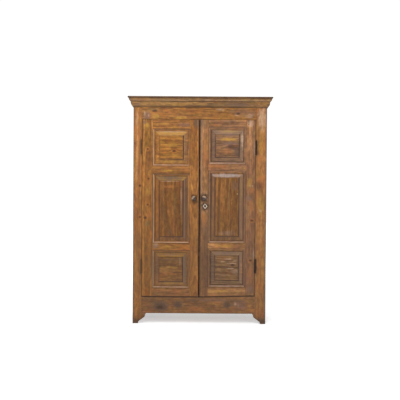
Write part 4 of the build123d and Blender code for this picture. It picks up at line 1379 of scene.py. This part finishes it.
class TRASTERO_OT_hinges(PieceOperator):
    """Hinge leaves, pins, and the screws that hold the leaves."""

    bl_idname = "trastero.hinges"
    bl_label = "Hinges"

    LEAF_LENGTH = 112 * MM
    LEAF_FACE = 0.2 * MM
    SCREWS = ((-40 * MM, 13 * MM), (0.0, 8 * MM), (40 * MM, 13 * MM))
    SCREW_PROUD = 0.12 * MM

    def make(self, chosen):
        for hand, browned in (("left", 0.8), ("right", 0.12)):
            material = black_iron(f"black_iron_{hand}_hinges", browned)
            filed_iron(f"{hand}_hinge_frame_leaves", material)
            filed_iron(f"{hand}_door_hinge_leaves", material)
            outward = -1.0 if hand == "left" else 1.0
            for owner, body, side in (("frame", "case", outward), ("door", f"{hand}_door", -outward)):
                head = slotted_head(chosen.iron.screw_radius, self.SCREW_PROUD)
                screws = set_out(head, self.leaf_screws(hand, side))
                fit(f"{hand}_hinge_{owner}_screws", screws, material, body)
        filed_iron("hinge_pins", black_iron("black_iron_pins", 0.3))

    def leaf_screws(self, hand, side):
        """Places of the screws on the leaves at one side of a seam, which they face."""
        edge = 1 if hand == "left" else 0
        seam = (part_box(f"{hand}_frame_stile")[edge].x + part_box(f"{hand}_door_hinge_stile")[1 - edge].x) / 2
        low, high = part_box(f"{hand}_hinge_frame_leaves")
        heights = (low.z + self.LEAF_LENGTH / 2, high.z - self.LEAF_LENGTH / 2)
        face = seam + side * self.LEAF_FACE
        return [
            ((face, FRONT_Y + depth, height + along), (-side, 0.0, 0.0))
            for height in heights
            for along, depth in self.SCREWS
        ]


class TRASTERO_OT_locks(PieceOperator):
    """Lock, bolts, plates, their screws, and the bone escutcheon."""

    bl_idname = "trastero.locks"
    bl_label = "Locks and Bolts"

    IN_FROM_EDGE = 7 * MM
    LOCK_SCREWS_IN = 17 * MM
    SELVEDGE_SCREWS_IN = 5 * MM
    BOLT_PLATE_SCREWS_IN = 5 * MM
    BOLT_PLATE_THICK = 2 * MM
    SCREW_SIZE = 0.8
    SCREW_PROUD = 0.4 * MM

    def make(self, chosen):
        material = black_iron("black_iron_locks")
        for node in (
            "right_door_lock_case",
            "lock_bolt",
            "left_door_strike_plate",
            "left_door_slide_bolt_plate",
            "slide_bolt",
        ):
            filed_iron(node, material)
        filed_iron("right_door_escutcheon", bone("bone"))
        radius = self.SCREW_SIZE * chosen.iron.screw_radius
        for body, places in (
            ("right_door", self.lock_screws()),
            ("left_door", self.strike_screws() + self.bolt_plate_screws()),
        ):
            head = slotted_head(radius, self.SCREW_PROUD)
            fit(f"{body}_lock_screws", set_out(head, places), material, body)

    def corners(self, first, second, inset_first, inset_second):
        """The four corners of a plate, drawn in from its edges."""
        return [
            (one, two)
            for one in (first[0] + inset_first, first[1] - inset_first)
            for two in (second[0] + inset_second, second[1] - inset_second)
        ]

    def lock_screws(self):
        """Four screws on the back of the lock, and two in its selvedge on the edge of the door."""
        low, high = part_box("right_door_lock_case")
        back = self.corners((low.x, high.x), (low.z, high.z), self.IN_FROM_EDGE, self.LOCK_SCREWS_IN)
        places = [((x, high.y, z), (0.0, 1.0, 0.0)) for x, z in back]
        heights = (low.z + self.SELVEDGE_SCREWS_IN, high.z - self.SELVEDGE_SCREWS_IN)
        return places + [((low.x, (low.y + high.y) / 2, z), (-1.0, 0.0, 0.0)) for z in heights]

    def strike_screws(self):
        low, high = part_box("left_door_strike_plate")
        middle = (low.y + high.y) / 2
        heights = (low.z + self.IN_FROM_EDGE, high.z - self.IN_FROM_EDGE)
        return [((high.x, middle, z), (1.0, 0.0, 0.0)) for z in heights]

    def bolt_plate_screws(self):
        low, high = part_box("left_door_slide_bolt_plate")
        spots = self.corners((low.x, high.x), (low.z, high.z), self.BOLT_PLATE_SCREWS_IN, self.IN_FROM_EDGE)
        face = low.y + self.BOLT_PLATE_THICK
        return [((x, face, z), (0.0, 1.0, 0.0)) for x, z in spots]


class TRASTERO_OT_stage(bpy.types.Operator):
    """Floor, lights and camera."""

    bl_idname = "trastero.stage"
    bl_label = "Stage"
    bl_options = {"REGISTER", "UNDO"}

    FLOOR_REACH = 14.0
    # the floor's glow, painted light that stands for the light it gives back, close to the cupboard and far
    # from it
    GLOW_REACH = (0.9, 4.5)
    GLOW = (0.62, 1.15)
    # the painted shadow under the cupboard: how much of the glow it takes away, and how softly it begins on
    # each side
    PAINTED_SHADOW = 0.49
    SOFT_SIDE = 40 * MM
    SOFT_FRONT = (-20 * MM, 360 * MM)
    SOFT_BACK = (200 * MM, -40 * MM)
    # the strength of the white world as a light, and as the camera sees it
    WORLD_LIGHT = 0.25
    WORLD_SEEN = 1.05

    def execute(self, context):
        stage = context.scene.trastero.stage
        self.floor(stage)
        self.light(context.scene)
        self.camera(context.scene, stage)
        return {"FINISHED"}

    def floor(self, stage):
        bm = bmesh.new()
        bmesh.ops.create_grid(bm, x_segments=1, y_segments=1, size=self.FLOOR_REACH)
        mesh = bpy.data.meshes.new("studio_floor")
        bm.to_mesh(mesh)
        bm.free()
        shader = Shader("studio_floor", {"Specular IOR Level": 0.1})
        clouds = shader.noise(shader.place, 0.8, 3.0)
        base = shader.mix(shader.step(clouds, 0.3, 0.7), stage.floor, [0.985 * part for part in stage.floor])
        off_centre = shader.size(shader.combine(shader.x, shader.y, 0.0))
        beyond = shader.step(off_centre, *self.GLOW_REACH, *self.GLOW)
        beside = shader.step(
            shader.math("ABSOLUTE", shader.x), BODY_RIGHT + self.SOFT_SIDE, BODY_RIGHT - self.SOFT_SIDE
        )
        before = shader.step(shader.y, *[FRONT_Y + depth for depth in self.SOFT_FRONT])
        behind = shader.step(shader.y, *[BACK_Y + depth for depth in self.SOFT_BACK])
        # a painted shadow: under the cupboard the floor's glow is dimmer and cooler
        under = shader.product(beside, before, behind)
        shader.join(shader.mix(under, stage.painted_bounce, stage.shade), shader.surface.inputs["Emission Color"])
        glow = shader.product(beyond, shader.less(1.0, shader.product(under, self.PAINTED_SHADOW)))
        shader.join(glow, shader.surface.inputs["Emission Strength"])
        mesh.materials.append(shader.finish(base, 0.8, clouds, 0.1 * MM, 0.1))
        floor = bpy.data.objects.new("studio_floor", mesh)
        bpy.context.scene.collection.objects.link(floor)

    def light(self, scene):
        scene.view_settings.view_transform = "Standard"
        world = bpy.data.worlds.new("studio")
        scene.world = world
        world.use_nodes = True
        nodes, links = world.node_tree.nodes, world.node_tree.links
        background = nodes["Background"]
        background.inputs["Color"].default_value = (1.0, 1.0, 1.0, 1.0)
        seen = nodes.new("ShaderNodeLightPath").outputs["Is Camera Ray"]
        brightness = nodes.new("ShaderNodeMix")
        brightness.inputs["A"].default_value = self.WORLD_LIGHT
        brightness.inputs["B"].default_value = self.WORLD_SEEN
        links.new(seen, brightness.inputs["Factor"])
        links.new(brightness.outputs["Result"], background.inputs["Strength"])
        self.softbox("key_light", place=(-0.8, -2.3, 3.4), aim=(0.0, -0.2, 1.2), size=1.8, power=63.0)
        self.softbox("fill_light", place=(2.6, -3.0, 2.0), aim=(0.0, -0.2, 0.9), size=2.2, power=19.0)
        self.softbox("back_light", place=(0.5, 3.0, 3.2), aim=(0.0, 0.0, 1.0), size=2.5, power=60.0)

    def softbox(self, name, place, aim, size, power):
        light = bpy.data.lights.new(name, "AREA")
        light.shape = "SQUARE"
        light.size = size
        light.energy = power
        lamp = bpy.data.objects.new(name, light)
        lamp.location = place
        lamp.rotation_euler = (Vector(aim) - Vector(place)).to_track_quat("-Z", "Y").to_euler()
        bpy.context.scene.collection.objects.link(lamp)

    def camera(self, scene, stage):
        lens = bpy.data.cameras.new("camera")
        lens.lens = stage.focal
        lens.sensor_width = 36.0
        lens.sensor_fit = "HORIZONTAL"
        lens.clip_end = 60.0
        camera = bpy.data.objects.new("camera", lens)
        place = Vector((stage.camera_side, FRONT_Y - stage.camera_distance, stage.camera_height))
        aim = Vector((stage.camera_side, FRONT_Y, stage.aim_height))
        turn = (aim - place).to_track_quat("-Z", "Y").to_matrix() @ Matrix.Rotation(stage.roll, 3, "Z")
        camera.matrix_world = Matrix.Translation(place) @ turn.to_4x4()
        scene.collection.objects.link(camera)
        scene.camera = camera


PIECE_OPERATORS = (
    TRASTERO_OT_face_frame,
    TRASTERO_OT_case,
    TRASTERO_OT_inside,
    TRASTERO_OT_back,
    TRASTERO_OT_cornice,
    TRASTERO_OT_door_frames,
    TRASTERO_OT_door_panels,
    TRASTERO_OT_pegs,
    TRASTERO_OT_knobs,
    TRASTERO_OT_hinges,
    TRASTERO_OT_locks,
)


class TRASTERO_PT_panel(bpy.types.Panel):
    """Sidebar panel that lists the pieces in the order they are made."""

    bl_idname = "TRASTERO_PT_panel"
    bl_label = "Trastero Cupboard"
    bl_space_type = "VIEW_3D"
    bl_region_type = "UI"
    bl_category = "Trastero"

    def draw(self, context):
        column = self.layout.column()
        for operator in (*PIECE_OPERATORS, TRASTERO_OT_stage):
            column.operator(operator.bl_idname)
        chosen = context.scene.trastero
        for group in (chosen.wood, chosen.knob, chosen.iron, chosen.stage):
            box = self.layout.box()
            for name in group.bl_rna.properties.keys():
                if name not in ("rna_type", "name"):
                    box.prop(group, name)


CLASSES = (
    TrasteroWood,
    TrasteroKnob,
    TrasteroIron,
    TrasteroStage,
    TrasteroSettings,
    *PIECE_OPERATORS,
    TRASTERO_OT_stage,
    TRASTERO_PT_panel,
)


def register():
    for cls in CLASSES:
        bpy.utils.register_class(cls)
    bpy.types.Scene.trastero = PointerProperty(type=TrasteroSettings)


def unregister():
    del bpy.types.Scene.trastero
    for cls in reversed(CLASSES):
        bpy.utils.unregister_class(cls)


def main():
    register()
    for operator in (*PIECE_OPERATORS, TRASTERO_OT_stage):
        group, name = operator.bl_idname.split(".")
        getattr(getattr(bpy.ops, group), name)()


if __name__ == "__main__":
    main()
